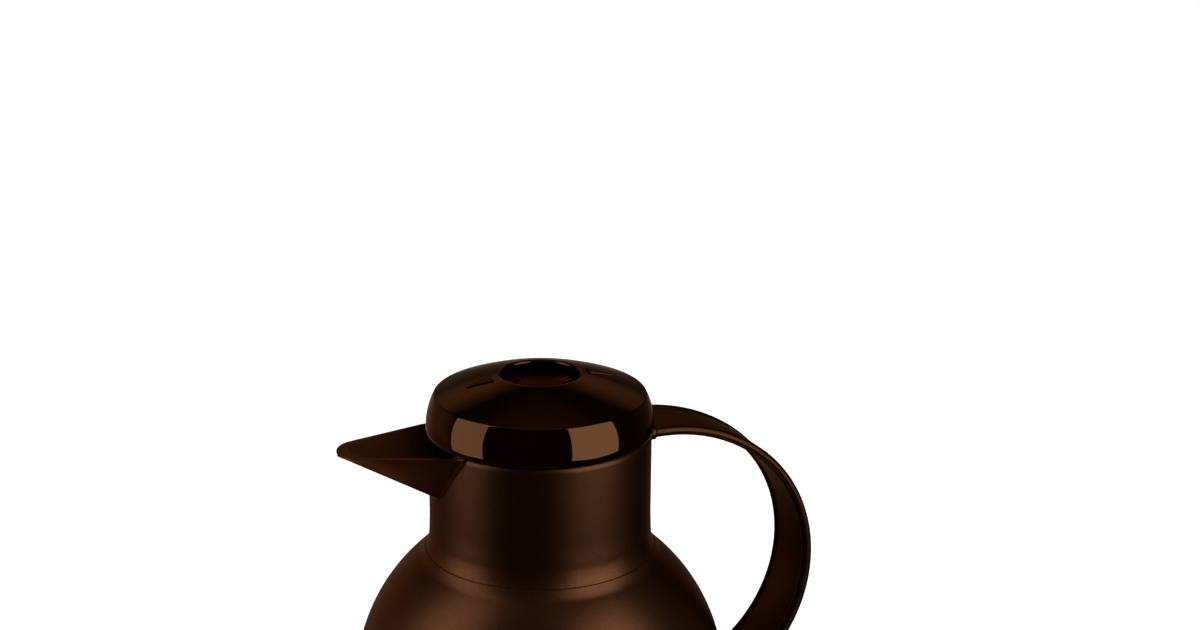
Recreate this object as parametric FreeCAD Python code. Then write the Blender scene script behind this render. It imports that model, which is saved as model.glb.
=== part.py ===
import FreeCAD, Part
import math
import os
from FreeCAD import Vector

# Thermal jug: a ball-shaped insulated body on a screwed-in base, a straight collar with a beak spout, a
# ribbon handle, and a screw-in closure whose top button opens the pouring valve and latches it open.
# Millimetres, +Z up. The origin is on the jug's axis, on the plane that it stands on. The handle points along
# +X and the spout along -X.

# Fits
overrun = 3.0               # how far a cut runs past the face that it opens
seat_gap = 0.1              # between pieces that are pressed or snapped together
slide_gap = 0.3             # between pieces that slide, turn or screw on each other
stem_gap = 0.08             # radial play of the valve stem in its guides

# Ball body
ball_radius = 78.2
ball_wall = 2.4
base_edge_radius = 47.66    # lower edge of the ball, where the base begins
base_edge_height = 4.0      # that edge above the table
spigot_height = 14.0        # upstand on the ball that carries the collar
spigot_wall = 2.0
socket_inset = 7.66         # inside of the socket for the base, in from the edge of the ball
socket_wall = 2.2
socket_height = 10.0

# Base and foot
base_inset = 2.5            # edge of the base cap in from the edge of the ball
base_ring_wall = 2.4
base_ring_height = 8.0      # screwed ring on the base cap
foot_inset = 5.66           # outside of the soft ring that the jug stands on, in from the edge of the ball
foot_width = 7.0
foot_height = 2.6
foot_proud = 1.0            # how far the soft ring stands below the base cap
grip_radius = 24.0          # hollow under the base, with a bar across it to turn the base by
grip_depth = 1.4
grip_bar_width = 9.0

# Vacuum flask
flask_clearance = 6.8       # between the flask and the inside of the ball
flask_rise = 2.0            # widest part of the flask above the centre of the ball
flask_shoulder_inset = 3.0  # centre of the shoulder's arc out from the axis
flask_neck_radius = 27.0
flask_mouth_radius = 21.0
flask_glass = 1.6
flask_vacuum = 4.4
flask_lip = 2.0             # thickness of the lip that joins the two walls
tip_radius = 3.0            # sealed-off glass tip under the flask
tip_length = 4.5
seal_thickness = 2.2        # soft ring between the flask's lip and the collar
seal_skirt = 1.6
seal_drop = 2.2             # how far that ring's skirt reaches down past the lip
cushion_height = 8.0        # soft cup under the flask
cushion_reach = 12.0        # how far the cup reaches out past the flat bottom of the flask
cushion_bore = 6.0

# Collar
neck_radius = 45.75
neck_height = 50.7          # from where the neck's line meets the ball up to the pouring rim
collar_wall = 2.6
rim_round = 2.4
flare_radius = 16.0         # hollow curve from the neck out to the ball
seam_turn_deg = 29.0        # turn of that curve, from the neck, where the collar ends on the ball
seam_gap = 0.3
deck_thickness = 2.6        # floor of the pouring chamber
mouth_radius = 26.0         # bore that the stopper screws into
mouth_wall = 3.6
mouth_depth = 8.4           # from the deck down to the lower end of that bore

# Spout
spout_length = 39.65        # from the neck out to the nose
spout_depth = 24.5          # from the rim down to the keel at the neck
spout_half_width = 21.4     # at the neck
spout_nose_radius = 12.4
spout_lip_height = 1.5      # height of the nose
spout_wall = 2.2
spout_side_lip = 1.7        # flat of the rim along the sides
spout_nose_lip = 5.0        # flat of the rim at the nose
spout_end_depth = 0.9       # depth of the channel where it ends at the nose
keel_share = 0.36           # keel's radius as a share of the spout's depth

# Handle
handle_drop = 3.4           # middle of the ribbon below the rim, at the collar
handle_lean_deg = 1.8       # rise of the ribbon where it leaves the collar
handle_upper_radius = 74.5
handle_upper_turn_deg = 41.6
handle_foot_drop = 17.0     # foot of the ribbon below the centre of the ball
handle_root_width = 25.0
handle_foot_width = 29.0
handle_bead = 4.2           # thickness of the rounded edges
handle_crown = 3.5          # thickness in the middle of the web
handle_groove = 2.6         # thickness beside the rounded edges
flange_thickness = 1.3      # flange of the handle's root against the neck
flange_lip = 0.8            # how far it stands out round the ribbon
tongue_width = 14.0
tongue_thickness = 2.4
tongue_root = 3.0           # how far a tongue reaches back into the ribbon
tongue_length = 7.0         # how far the upper tongue reaches in from the neck's surface
pocket_wall = 1.6
foot_tongue_length = 3.4    # how far the lower tongue reaches past the inside of the ball
barb_height = 0.6           # snap edge across the lower tongue
barb_length = 1.4

# Lid
lid_gap = 0.4               # between the lid and the rim
lid_overhang = 0.25         # lower edge of the lid past the neck
lid_bulge = 0.8             # how far the side swells out
lid_bulge_height = 2.5
lid_shoulder_inset = 2.6    # shoulder in from the lower edge
lid_shoulder_height = 14.95
lid_shoulder_round = 1.0
lid_dome_crown = 0.5        # rise of the dome's arc above a straight slope
lid_height = 23.4
lid_wall = 2.2
well_radius = 16.1          # finger well in the middle of the lid
well_wall = 1.8
well_round = 1.2

# Stopper
plate_rise = 1.2            # underside of the stopper's plate above the lid's lower edge
plate_thickness = 2.2
plug_wall = 2.4
plug_clear = 0.8            # lower end of the plug above the lower end of its bore
window_count = 4
window_width_deg = 52.0
window_sill = 2.0           # lower edge of the pouring windows above the deck
window_head = 4.0           # upper edge of the windows below the plate
seat_thickness = 2.4        # wall at the lower end of the plug, which the valve closes
seat_radius = 14.5
hub_radius = 5.5
spoke_count = 3
spoke_width = 3.0
ring_height = 3.0           # sealing ring round the plug
ring_thickness = 1.6
ring_rise = 1.0             # sealing ring above the plug's lower end
stem_seal_thickness = 1.9
stem_seal_height = 1.2

# Button and valve
button_depth = 4.2          # edge of the button below the top of the well
button_dish = 1.4           # hollow of the button's face
button_wall = 2.0
button_skirt = 8.0
button_rib_count = 30
button_rib_width = 0.5
button_rib_height = 0.5
button_rib_inner_radius = 9.6
button_rib_outer_radius = 14.2
button_travel = 5.0
stem_radius = 3.0
stem_foot_radius = 2.2
stem_socket_wall = 1.2
stem_socket_depth = 4.0
valve_radius = 18.4
valve_thickness = 2.4
valve_seal_width = 3.0
valve_seal_thickness = 0.7
clip_radius = 4.6
clip_thickness = 1.2
clip_mouth = 2.6
stem_tail = 0.8             # end of the stem below its clip

# Return spring
spring_wire = 0.9
spring_radius = 5.1         # to the middle of the wire
spring_turns = 4
spring_seat = 0.15          # between the wire and what it presses on
gap_points_per_turn = 72    # where the space between turns is measured

# Latch
boss_wall = 0.9             # tube under the button that carries the rotor
boss_lip = 0.7
boss_lip_height = 0.9
rotor_wall = 2.0
rotor_height = 3.0
lug_count = 4
lug_reach = 2.0
lug_width = 2.2
rotor_turn_deg = 22.5       # turn of the rotor over the button's travel
sleeve_wall = 2.5
tooth_count = 8
tooth_play = 0.4            # between a lug and the sides of a tooth


# Levels and radii that follow from the sizes above
ball_height = base_edge_height + math.sqrt(ball_radius**2 - base_edge_radius**2)
socket_radius = base_edge_radius - socket_inset
foot_radius = base_edge_radius - foot_inset
neck_base = ball_height + math.sqrt(ball_radius**2 - neck_radius**2)
rim_height = neck_base + neck_height
collar_bore = neck_radius - collar_wall
spigot_radius = collar_bore - seat_gap
spigot_foot = ball_height + math.sqrt(ball_radius**2 - spigot_radius**2)
flare_out = neck_radius + flare_radius
flare_rise = math.sqrt((ball_radius + flare_radius)**2 - flare_out**2)
flare_turn = math.atan2(flare_rise, flare_out)
seam_turn = math.radians(seam_turn_deg)
deck_height = rim_height - spout_depth + spout_wall
mouth_low = deck_height - mouth_depth
lip_top = mouth_low - seal_thickness
flask_bottom = base_edge_height + cushion_height
flask_middle = ball_height + flask_rise
flask_radius = ball_radius - ball_wall - flask_clearance
flask_step = flask_glass + flask_vacuum
flask_bend = flask_middle - flask_bottom
flask_floor = flask_radius - flask_bend
cushion_radius = flask_floor + cushion_reach
lid_radius = neck_radius + lid_overhang
lid_shoulder_radius = lid_radius - lid_shoulder_inset
lid_low = rim_height + lid_gap
lid_top = lid_low + lid_height
plate_low = lid_low + plate_rise
plate_top = plate_low + plate_thickness
plug_radius = mouth_radius - slide_gap
plug_bore = plug_radius - plug_wall
plug_low = mouth_low + plug_clear
valve_top = plug_low - seat_gap - valve_seal_thickness
valve_low = valve_top - valve_thickness
stem_bore = stem_radius + stem_gap
button_radius = well_radius - slide_gap
button_top = lid_top - button_depth
button_under = button_top - button_dish - button_wall
boss_bore = spring_radius + spring_wire / 2 + slide_gap
boss_radius = boss_bore + boss_wall
rotor_bore = boss_radius + slide_gap
rotor_radius = rotor_bore + rotor_wall
rotor_top = button_under - slide_gap
rotor_low = rotor_top - rotor_height
sleeve_bore = rotor_radius + slide_gap
sleeve_top = button_under - button_travel - slide_gap


def at(radius, height):
    """Point of a turned outline, at a radius from the axis and a height."""
    return Vector(radius, 0, height)


def unit(vector):
    """Copy of a vector with a length of one."""
    return Vector(vector).normalize()


def tangent_arc(start, along, end):
    """Arc that leaves start in the direction along and reaches end, and its direction there."""
    chord = end - start
    half_way = unit(unit(along) + unit(chord))
    middle = start + half_way * (chord.Length / (2 * half_way.dot(unit(chord))))
    arrives = unit(chord) * (2 * unit(along).dot(unit(chord))) - unit(along)
    return Part.Arc(start, middle, end).toShape(), arrives


def joined(points, closed=True):
    """Straight edges from point to point, back to the first one if closed."""
    ends = points[1:] + points[:1] if closed else points[1:]
    return [Part.LineSegment(a, b).toShape() for a, b in zip(points, ends)]


def turned(edges):
    """Solid of revolution about the jug's axis from the edges of a closed outline."""
    face = Part.Face(Part.Wire(Part.sortEdges(edges)[0]))
    solid = face.revolve(Vector(0, 0, 0), Vector(0, 0, 1), 360)
    return solid if solid.Volume > 0 else solid.reversed()


def disc(radius, low, high):
    """Solid disc about the axis between two heights."""
    return Part.makeCylinder(radius, high - low, Vector(0, 0, low))


def ring(bore, radius, low, high):
    """Plain ring about the axis between two heights."""
    return turned(joined([at(bore, low), at(radius, low), at(radius, high), at(bore, high)]))


def block(x_low, x_high, width, z_low, z_high):
    """Block between two places along X and two heights, centred across Y."""
    return Part.makeBox(x_high - x_low, width, z_high - z_low, Vector(x_low, -width / 2, z_low))


def around(shape, count):
    """Copies of a shape spaced evenly about the axis, as a list."""
    copies = []
    for number in range(count):
        copy = shape.copy()
        copy.rotate(Vector(0, 0, 0), Vector(0, 0, 1), 360 * number / count)
        copies.append(copy)
    return copies


def circle_rise(radius, out):
    """Height of a circle's edge above its centre, at a distance out from that centre."""
    return math.sqrt(radius**2 - out**2)


def flare_at(turn):
    """Point on the hollow curve from the neck to the ball, after a turn from the neck."""
    out = flare_out - flare_radius * math.cos(turn)
    return at(out, ball_height + flare_rise - flare_radius * math.sin(turn))


def flare(first, last):
    """Arc of that curve between two turns."""
    return Part.Arc(flare_at(first), flare_at((first + last) / 2), flare_at(last)).toShape()


def make_ball_body():
    """Spherical shell with a hollow shoulder, an upstand for the collar and a socket for the base."""
    inner = ball_radius - ball_wall
    spigot_bore = spigot_radius - spigot_wall
    floor = base_edge_height + ball_wall
    floor_edge = circle_rise(inner, ball_height - floor)
    spigot_top = spigot_foot + spigot_height
    inner_top = ball_height + circle_rise(inner, spigot_bore)
    socket_outside = socket_radius + socket_wall
    socket_top = base_edge_height + socket_height
    edge = at(base_edge_radius, base_edge_height)
    outside = Part.Arc(edge, at(ball_radius, ball_height), flare_at(flare_turn))
    inside = Part.Arc(at(spigot_bore, inner_top), at(inner, ball_height), at(floor_edge, floor))
    upstand = [flare_at(seam_turn), at(spigot_radius, spigot_foot), at(spigot_radius, spigot_top),
               at(spigot_bore, spigot_top), at(spigot_bore, inner_top)]
    base_socket = [at(floor_edge, floor), at(socket_outside, floor), at(socket_outside, socket_top),
                   at(socket_radius, socket_top), at(socket_radius, base_edge_height), edge]
    curves = [outside.toShape(), flare(seam_turn, flare_turn), inside.toShape()]
    return turned(curves + joined(upstand, False) + joined(base_socket, False)).cut(foot_tongue(seat_gap))


def make_base_cap():
    """Screw-in base with a ring that enters the ball, a groove for the foot and a grip bar underneath."""
    edge = base_edge_radius - base_inset
    ring_outside = socket_radius - slide_gap
    ring_bore = ring_outside - base_ring_wall
    ring_top = base_edge_height + base_ring_height
    plate = [at(0, foot_proud), at(edge, foot_proud), at(edge, base_edge_height)]
    screw = [at(ring_outside, base_edge_height), at(ring_outside, ring_top), at(ring_bore, ring_top),
             at(ring_bore, base_edge_height), at(0, base_edge_height)]
    cap = turned(joined(plate + screw))
    groove_bore = foot_radius - foot_width - seat_gap
    groove = ring(groove_bore, foot_radius + seat_gap, foot_proud - overrun, foot_height)
    hollow = disc(grip_radius, foot_proud - overrun, foot_proud + grip_depth)
    bar = block(-grip_radius, grip_radius, grip_bar_width, foot_proud - overrun, foot_proud + grip_depth)
    return cap.cut(groove).cut(hollow.cut(bar))


def make_foot_ring():
    """Soft ring in the base cap's groove, rounded along its lower edges."""
    foot = ring(foot_radius - foot_width, foot_radius, 0, foot_height)
    lower = [edge for edge in foot.Edges if edge.Closed and edge.BoundBox.ZMax < foot_proud / 2]
    return foot.makeFillet(foot_proud / 2, lower)


def flask_outline(shrink, neck):
    """Edges of one side of a flask wall, from the axis at the bottom up to its neck, and the neck's foot."""
    upper = flask_radius - flask_shoulder_inset - shrink
    waist = at(flask_radius - shrink, flask_middle)
    bottom = at(flask_floor, flask_bottom + shrink)
    neck_foot = at(neck, flask_middle + circle_rise(upper, neck - flask_shoulder_inset))
    floor = Part.LineSegment(at(0, flask_bottom + shrink), bottom).toShape()
    lower_arc, _ = tangent_arc(bottom, Vector(1, 0, 0), waist)
    upper_arc, _ = tangent_arc(waist, Vector(0, 0, 1), neck_foot)
    return [floor, lower_arc, upper_arc], neck_foot


def make_flask_jacket():
    """Outer glass wall of the flask, with its sealed tip."""
    outside, outer_neck = flask_outline(0, flask_neck_radius)
    inside, inner_neck = flask_outline(flask_glass, flask_neck_radius - flask_glass)
    neck_top = lip_top - flask_lip
    neck = joined([outer_neck, at(outer_neck.x, neck_top), at(inner_neck.x, neck_top), inner_neck], False)
    axis = joined([at(0, flask_bottom), at(0, flask_bottom + flask_glass)], False)
    tip = Part.makeCone(tip_radius / 2, tip_radius, tip_length, Vector(0, 0, flask_bottom - tip_length))
    return turned(outside + inside + neck + axis).fuse(tip).removeSplitter()


def make_flask_bulb():
    """Inner glass wall of the flask, with the lip that joins it to the outer one."""
    outside, outer_neck = flask_outline(flask_step, flask_mouth_radius + flask_glass)
    inside, inner_neck = flask_outline(flask_step + flask_glass, flask_mouth_radius)
    lip_low = lip_top - flask_lip
    neck = joined([outer_neck, at(outer_neck.x, lip_low), at(flask_neck_radius, lip_low),
                   at(flask_neck_radius, lip_top), at(inner_neck.x, lip_top), inner_neck], False)
    axis = joined([at(0, flask_bottom + flask_step), at(0, flask_bottom + flask_step + flask_glass)], False)
    return turned(outside + inside + neck + axis)


def make_flask_seal():
    """Soft ring over the flask's lip, pressed against the collar."""
    skirt_bore = flask_neck_radius + seat_gap
    outside = skirt_bore + seal_skirt
    inside = flask_mouth_radius + flask_glass
    skirt_low = lip_top - seal_drop
    return turned(joined([at(inside, lip_top), at(skirt_bore, lip_top), at(skirt_bore, skirt_low),
                          at(outside, skirt_low), at(outside, mouth_low), at(inside, mouth_low)]))


def make_flask_cushion():
    """Soft cup that carries the flask on the base, with a bore for the glass tip."""
    edge_height = flask_middle - circle_rise(flask_bend + seat_gap, cushion_reach)
    seat = at(flask_floor, flask_bottom - seat_gap)
    cup, _ = tangent_arc(seat, Vector(1, 0, 0), at(cushion_radius, edge_height))
    sides = joined([at(cushion_radius, edge_height), at(cushion_radius, base_edge_height),
                    at(cushion_bore, base_edge_height), at(cushion_bore, seat.z), seat], False)
    return turned(sides + [cup])


def spout_section(out, half_width, depth):
    """Closed V-shaped section across the spout, flat at the rim and rounded at the keel."""
    keel = keel_share * depth
    centre = depth - keel
    reach = math.hypot(half_width, centre)
    lean = math.atan2(centre, half_width) + math.asin(keel / reach)
    side = math.sqrt(reach**2 - keel**2)
    across = half_width - side * math.cos(lean)
    down = side * math.sin(lean)
    left, right = (Vector(-out, sign * half_width, rim_height) for sign in (-1, 1))
    left_low, right_low = (Vector(-out, sign * across, rim_height - down) for sign in (-1, 1))
    bottom = Vector(-out, 0, rim_height - depth)
    edges = [Part.LineSegment(left, right), Part.LineSegment(right, right_low),
             Part.Arc(right_low, bottom, left_low), Part.LineSegment(left_low, left)]
    return Part.Wire([edge.toShape() for edge in edges])


def spout_plan(start, half_width, nose_radius, tip):
    """Prism over the spout's plan: straight sides that run into a round nose, and their slope."""
    nose = tip - nose_radius
    run = nose - neck_radius
    slope_angle = math.atan2(half_width, run) - math.asin(nose_radius / math.hypot(run, half_width))
    slope = math.tan(slope_angle)
    wide = half_width + slope * (neck_radius - start)
    touch = nose + nose_radius * math.sin(slope_angle)
    touch_width = nose_radius * math.cos(slope_angle)
    low = rim_height - 2 * spout_depth
    corners = [Vector(-start, sign * wide, low) for sign in (-1, 1)]
    touches = [Vector(-touch, sign * touch_width, low) for sign in (-1, 1)]
    nose_arc = Part.Arc(touches[1], Vector(-tip, 0, low), touches[0]).toShape()
    sides = joined([touches[0], corners[0], corners[1], touches[1]], False)
    face = Part.Face(Part.Wire(Part.sortEdges(sides + [nose_arc])[0]))
    return face.extrude(Vector(0, 0, rim_height - low)), slope


def spout_body(start, end, half_width, nose_radius, depth, end_depth):
    """Tapered V of the spout between two distances from the axis, trimmed to its plan."""
    plan, slope = spout_plan(start, half_width, nose_radius, end)
    fall = (depth - end_depth) / (end - neck_radius)
    sections = []
    for out in (start, end):
        outward = out - neck_radius
        sections.append(spout_section(out, half_width - slope * outward, depth - fall * outward))
    return Part.makeLoft(sections, True, True).common(plan)


def make_collar():
    """Neck sleeve with its pouring deck, mouth bore, beak spout and the pocket for the handle's tongue."""
    skirt_end = seam_turn - seam_gap / flare_radius
    tube_low = deck_height - deck_thickness
    mouth_outside = mouth_radius + mouth_wall
    rim_start = at(neck_radius, rim_height - rim_round)
    rim_end = at(neck_radius - rim_round, rim_height)
    rim, _ = tangent_arc(rim_start, Vector(0, 0, 1), rim_end)
    chamber_side = [rim_end, at(collar_bore, rim_height), at(collar_bore, deck_height)]
    mouth = [at(mouth_radius, deck_height), at(mouth_radius, mouth_low), at(mouth_outside, mouth_low),
             at(mouth_outside, tube_low)]
    skirt = [at(collar_bore, tube_low), at(collar_bore, spigot_foot + seam_gap), flare_at(skirt_end)]
    outline = joined(chamber_side + mouth + skirt, False) + joined([flare_at(0), rim_start], False)
    sleeve = turned(outline + [rim, flare(0, skirt_end)])
    start = circle_rise(neck_radius, spout_half_width) - collar_wall
    tip = neck_radius + spout_length
    spout = spout_body(start, tip, spout_half_width, spout_nose_radius, spout_depth, spout_lip_height)
    chamber = disc(collar_bore, deck_height, rim_height + overrun)
    channel = spout_body(collar_bore - collar_wall, tip - spout_nose_lip, spout_half_width - spout_side_lip,
                         spout_nose_radius - spout_side_lip, spout_depth - spout_wall, spout_end_depth)
    channel = channel.common(block(-tip, 0, 2 * neck_radius, deck_height, rim_height + overrun))
    below = disc(collar_bore, spigot_foot, deck_height)
    collar = sleeve.fuse(spout.cut(chamber).cut(below)).cut(channel)
    return collar.fuse(tongue_pocket()).cut(root_tongue(seat_gap)).removeSplitter()


def slab(place, along, back, forward, width, thickness):
    """Flat bar across the handle's plane, from behind a place to beyond it in a direction."""
    bar = Part.makeBox(back + forward, width, thickness, Vector(-back, -width / 2, -thickness / 2))
    bar.rotate(Vector(0, 0, 0), Vector(0, 1, 0), math.degrees(math.atan2(-along.z, along.x)))
    bar.translate(place)
    return bar


def root_tongue(gap):
    """Tongue from the handle's root into the collar, or with a gap the slot that it enters."""
    place = at(neck_radius, rim_height - handle_drop)
    return slab(place, Vector(-1, 0, 0), tongue_root, tongue_length + gap, tongue_width + 2 * gap,
                tongue_thickness + 2 * gap)


def root_flange():
    """Flange round the handle's root, curved to lie against the neck."""
    half = handle_bead / 2 + flange_lip
    middle = rim_height - handle_drop
    outside = neck_radius + flange_thickness
    curved = ring(neck_radius + seat_gap, outside, middle - half, middle + half)
    return curved.common(block(0, outside, handle_root_width + 2 * flange_lip, middle - half, middle + half))


def foot_tongue(gap):
    """Tongue from the handle's foot through the wall of the ball, or with a gap the slot in that wall."""
    _, _, (place, along) = handle_path()
    back = ball_wall + tongue_root
    return slab(place, along, back, foot_tongue_length + gap, tongue_width + 2 * gap,
                tongue_thickness + 2 * gap)


def foot_barb():
    """Snap edge on the lower tongue, past the inside of the ball."""
    _, _, (place, along) = handle_path()
    down = Vector(0, 1, 0).cross(along)
    start = place + along * (foot_tongue_length - barb_length) + down * (barb_height / 2)
    return slab(start, along, 0, barb_length, tongue_width, tongue_thickness + barb_height)


def tongue_pocket():
    """Closed pocket on the inside of the collar round the tongue's slot."""
    middle = rim_height - handle_drop
    half = tongue_thickness / 2 + pocket_wall
    inner = neck_radius - tongue_length - pocket_wall
    outside = disc(neck_radius - collar_wall / 2, middle - half, middle + half)
    box = block(inner, neck_radius, tongue_width + 2 * pocket_wall, middle - half, middle + half)
    return box.common(outside)


def foot_direction():
    """Direction from the centre of the ball to the handle's foot."""
    drop = math.asin(handle_foot_drop / ball_radius)
    return Vector(math.cos(drop), 0, -math.sin(drop))


def handle_path():
    """Path of the ribbon: a short straight from inside the collar, then two tangent arcs into the ball."""
    lean = math.radians(handle_lean_deg)
    turn = math.radians(handle_upper_turn_deg)
    along = Vector(math.cos(lean), 0, math.sin(lean))
    side = Vector(math.sin(lean), 0, -math.cos(lean))
    root = at(neck_radius, rim_height - handle_drop)
    start = root - along * (collar_wall / 2)
    knee = root + along * (handle_upper_radius * math.sin(turn))
    knee += side * (handle_upper_radius * (1 - math.cos(turn)))
    foot = Vector(0, 0, ball_height) + foot_direction() * (ball_radius - ball_wall)
    upper, onward = tangent_arc(root, along, knee)
    lower, arriving = tangent_arc(knee, onward, foot)
    return Part.Wire(joined([start, root], False) + [upper, lower]), (start, along), (foot, arriving)


def handle_section(place, along, width):
    """Closed dog-bone section across the ribbon: crowned web with a rounded bead along each edge."""
    up = Vector(0, 1, 0).cross(along) * -1
    bead = handle_bead / 2
    bead_middle = width / 2 - bead
    web_edge = bead_middle - circle_rise(bead, handle_groove / 2)

    def point(across, rise):
        return place + Vector(0, across, 0) + up * rise

    groove = handle_groove / 2
    crown = handle_crown / 2
    arcs = [Part.Arc(point(-web_edge, groove), point(0, crown), point(web_edge, groove)),
            Part.Arc(point(web_edge, groove), point(width / 2, 0), point(web_edge, -groove)),
            Part.Arc(point(web_edge, -groove), point(0, -crown), point(-web_edge, -groove)),
            Part.Arc(point(-web_edge, -groove), point(-width / 2, 0), point(-web_edge, groove))]
    return Part.Wire([arc.toShape() for arc in arcs])


def make_handle():
    """Ribbon handle trimmed to the collar and the ball, with a root flange and a tongue at each end."""
    path, (root, root_along), (foot, foot_along) = handle_path()
    sweep = Part.BRepOffsetAPI.MakePipeShell(path)
    sweep.add(handle_section(root, root_along, handle_root_width))
    sweep.add(handle_section(foot, foot_along, handle_foot_width))
    sweep.build()
    sweep.makeSolid()
    ribbon = sweep.shape()
    neck = disc(neck_radius + seat_gap, neck_base, rim_height + overrun)
    ball = Part.makeSphere(ball_radius + seat_gap, Vector(0, 0, ball_height))
    ribbon = ribbon.cut(neck).cut(ball)
    return ribbon.multiFuse([root_flange(), root_tongue(0), foot_tongue(0), foot_barb()]).removeSplitter()


def lid_outline(inset):
    """Edges of the lid's outside, or of a line inset from it, from the lower edge in to the well."""
    low = at(lid_radius - inset, lid_low)
    swell = at(lid_radius + lid_bulge - inset, lid_low + lid_bulge_height)
    shoulder = at(lid_shoulder_radius - inset, lid_low + lid_shoulder_height - inset)
    well_edge = at(well_radius + (well_wall if inset else well_round), lid_top - inset)
    skirt, _ = tangent_arc(swell, Vector(0, 0, -1), low)
    side, _ = tangent_arc(swell, Vector(0, 0, 1), shoulder)
    dome = Part.Arc(shoulder, (shoulder + well_edge) / 2 + Vector(0, 0, lid_dome_crown), well_edge)
    return [skirt, side, dome.toShape()], low, well_edge


def make_lid_cap():
    """Glossy lid shell with its finger well, standing on the stopper's plate."""
    outside, outer_low, outer_edge = lid_outline(0)
    inside, inner_low, inner_edge = lid_outline(lid_wall)
    well_outside = well_radius + well_wall
    edge_end = at(well_radius, lid_top - well_round)
    edge_round, _ = tangent_arc(outer_edge, Vector(-1, 0, 0), edge_end)
    well = joined([edge_end, at(well_radius, plate_top), at(well_outside, plate_top), inner_edge], False)
    foot = joined([outer_low, inner_low], False)
    cap = turned(outside + inside + [edge_round] + well + foot)
    shoulder = [edge for edge in cap.Edges if edge.Closed
                and abs(edge.BoundBox.ZMax - lid_low - lid_shoulder_height) < lid_wall / 2
                and abs(edge.BoundBox.XMax - lid_shoulder_radius) < lid_wall / 2]
    return cap.makeFillet(lid_shoulder_round, shoulder)


def make_stopper():
    """Screw stopper: plate under the lid, windowed plug, valve seat and stem guides."""
    plate_radius = lid_radius - lid_wall - seat_gap
    seat_top = plug_low + seat_thickness
    groove_low = plug_low + ring_rise
    groove_bore = mouth_radius - stem_gap - ring_thickness - stem_gap
    body = turned(joined([at(stem_bore, plate_top), at(plate_radius, plate_top), at(plate_radius, plate_low),
                          at(plug_radius, plate_low), at(plug_radius, plug_low), at(seat_radius, plug_low),
                          at(seat_radius, seat_top), at(plug_bore, seat_top), at(plug_bore, plate_low),
                          at(stem_bore, plate_low)]))
    window = block(plug_bore - overrun, plug_radius + overrun, window_width(), deck_height + window_sill,
                   plate_low - window_head)
    for cut in around(window, window_count):
        body = body.cut(cut)
    body = body.cut(ring(groove_bore, plug_radius + overrun, groove_low, groove_low + ring_height + seat_gap))
    body = body.cut(disc(stem_bore + stem_seal_thickness, plate_low - overrun, plate_low + stem_seal_height))
    hub = disc(hub_radius, plug_low, seat_top)
    spoke = block(0, seat_radius + overrun / 2, spoke_width, plug_low, seat_top)
    for piece in around(spoke, spoke_count):
        hub = hub.fuse(piece)
    hub = hub.cut(disc(stem_bore, plug_low - overrun, seat_top + overrun))
    return body.fuse(hub).removeSplitter()


def window_width():
    """Width of a pouring window across the plug."""
    return 2 * plug_radius * math.sin(math.radians(window_width_deg) / 2)


def make_sealing_ring():
    """Soft ring in the plug's groove that seals the stopper in the mouth."""
    low = plug_low + ring_rise + seat_gap / 2
    outside = mouth_radius - stem_gap
    return ring(outside - ring_thickness, outside, low, low + ring_height)


def make_stem_seal():
    """Small lip ring under the plate that keeps liquid off the button."""
    return ring(stem_radius + stem_gap, stem_bore + stem_seal_thickness - stem_gap, plate_low,
                plate_low + stem_seal_height)


def make_push_button():
    """Dished button with grip ribs, a guiding skirt, a socket for the stem and a boss for the rotor."""
    skirt_bore = button_radius - button_wall
    skirt_low = button_top - button_skirt
    shelf = rotor_low - slide_gap
    shelf_radius = rotor_bore + boss_lip
    boss_low = shelf - boss_lip_height
    socket_bore = stem_radius + seat_gap
    socket_outside = socket_bore + stem_socket_wall
    socket_low = button_under - stem_socket_depth
    dish, centre, edge = button_face(0)
    skirt = [edge, at(button_radius, button_top - button_wall / 2), at(button_radius, skirt_low),
             at(skirt_bore, skirt_low), at(skirt_bore, button_under)]
    boss = [at(boss_radius, button_under), at(boss_radius, shelf), at(shelf_radius, shelf),
            at(shelf_radius, boss_low), at(boss_bore, boss_low), at(boss_bore, button_under)]
    socket = [at(socket_outside, button_under), at(socket_outside, socket_low), at(socket_bore, socket_low),
              at(socket_bore, button_under), at(0, button_under), centre]
    outline = joined(skirt + boss + socket, False)
    rib = block(button_rib_inner_radius, button_rib_outer_radius, button_rib_width, button_top - button_dish,
                button_top + button_rib_height)
    ribs = around(rib.common(rib_space()), button_rib_count)
    return turned(outline + [dish]).multiFuse(ribs).removeSplitter()


def button_face(rise):
    """Arc of the button's dished face, or of a copy raised above it, with its centre and its edge."""
    centre = at(0, button_top - button_dish + rise)
    edge = at(button_radius - button_wall / 2, button_top + rise)
    return tangent_arc(centre, Vector(1, 0, 0), edge)[0], centre, edge


def rib_space():
    """Space under a copy of the button's dished face that is raised by the height of the ribs."""
    face, centre, edge = button_face(button_rib_height)
    return turned(joined([edge, at(edge.x, button_under), at(0, button_under), centre], False) + [face])


def make_valve_stem():
    """Stem from the button down to the valve plate, stepped where the plate sits."""
    tail = valve_low - clip_thickness - stem_tail
    return turned(joined([at(0, button_under), at(stem_radius, button_under), at(stem_radius, valve_top),
                          at(stem_foot_radius, valve_top), at(stem_foot_radius, tail), at(0, tail)]))


def make_valve_plate():
    """Plate that closes the stopper's seat from below."""
    return ring(stem_foot_radius + seat_gap, valve_radius, valve_low, valve_top)


def make_valve_seal():
    """Soft ring on the valve plate that meets the stopper's seat."""
    return ring(valve_radius - valve_seal_width, valve_radius, valve_top, valve_top + valve_seal_thickness)


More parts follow.
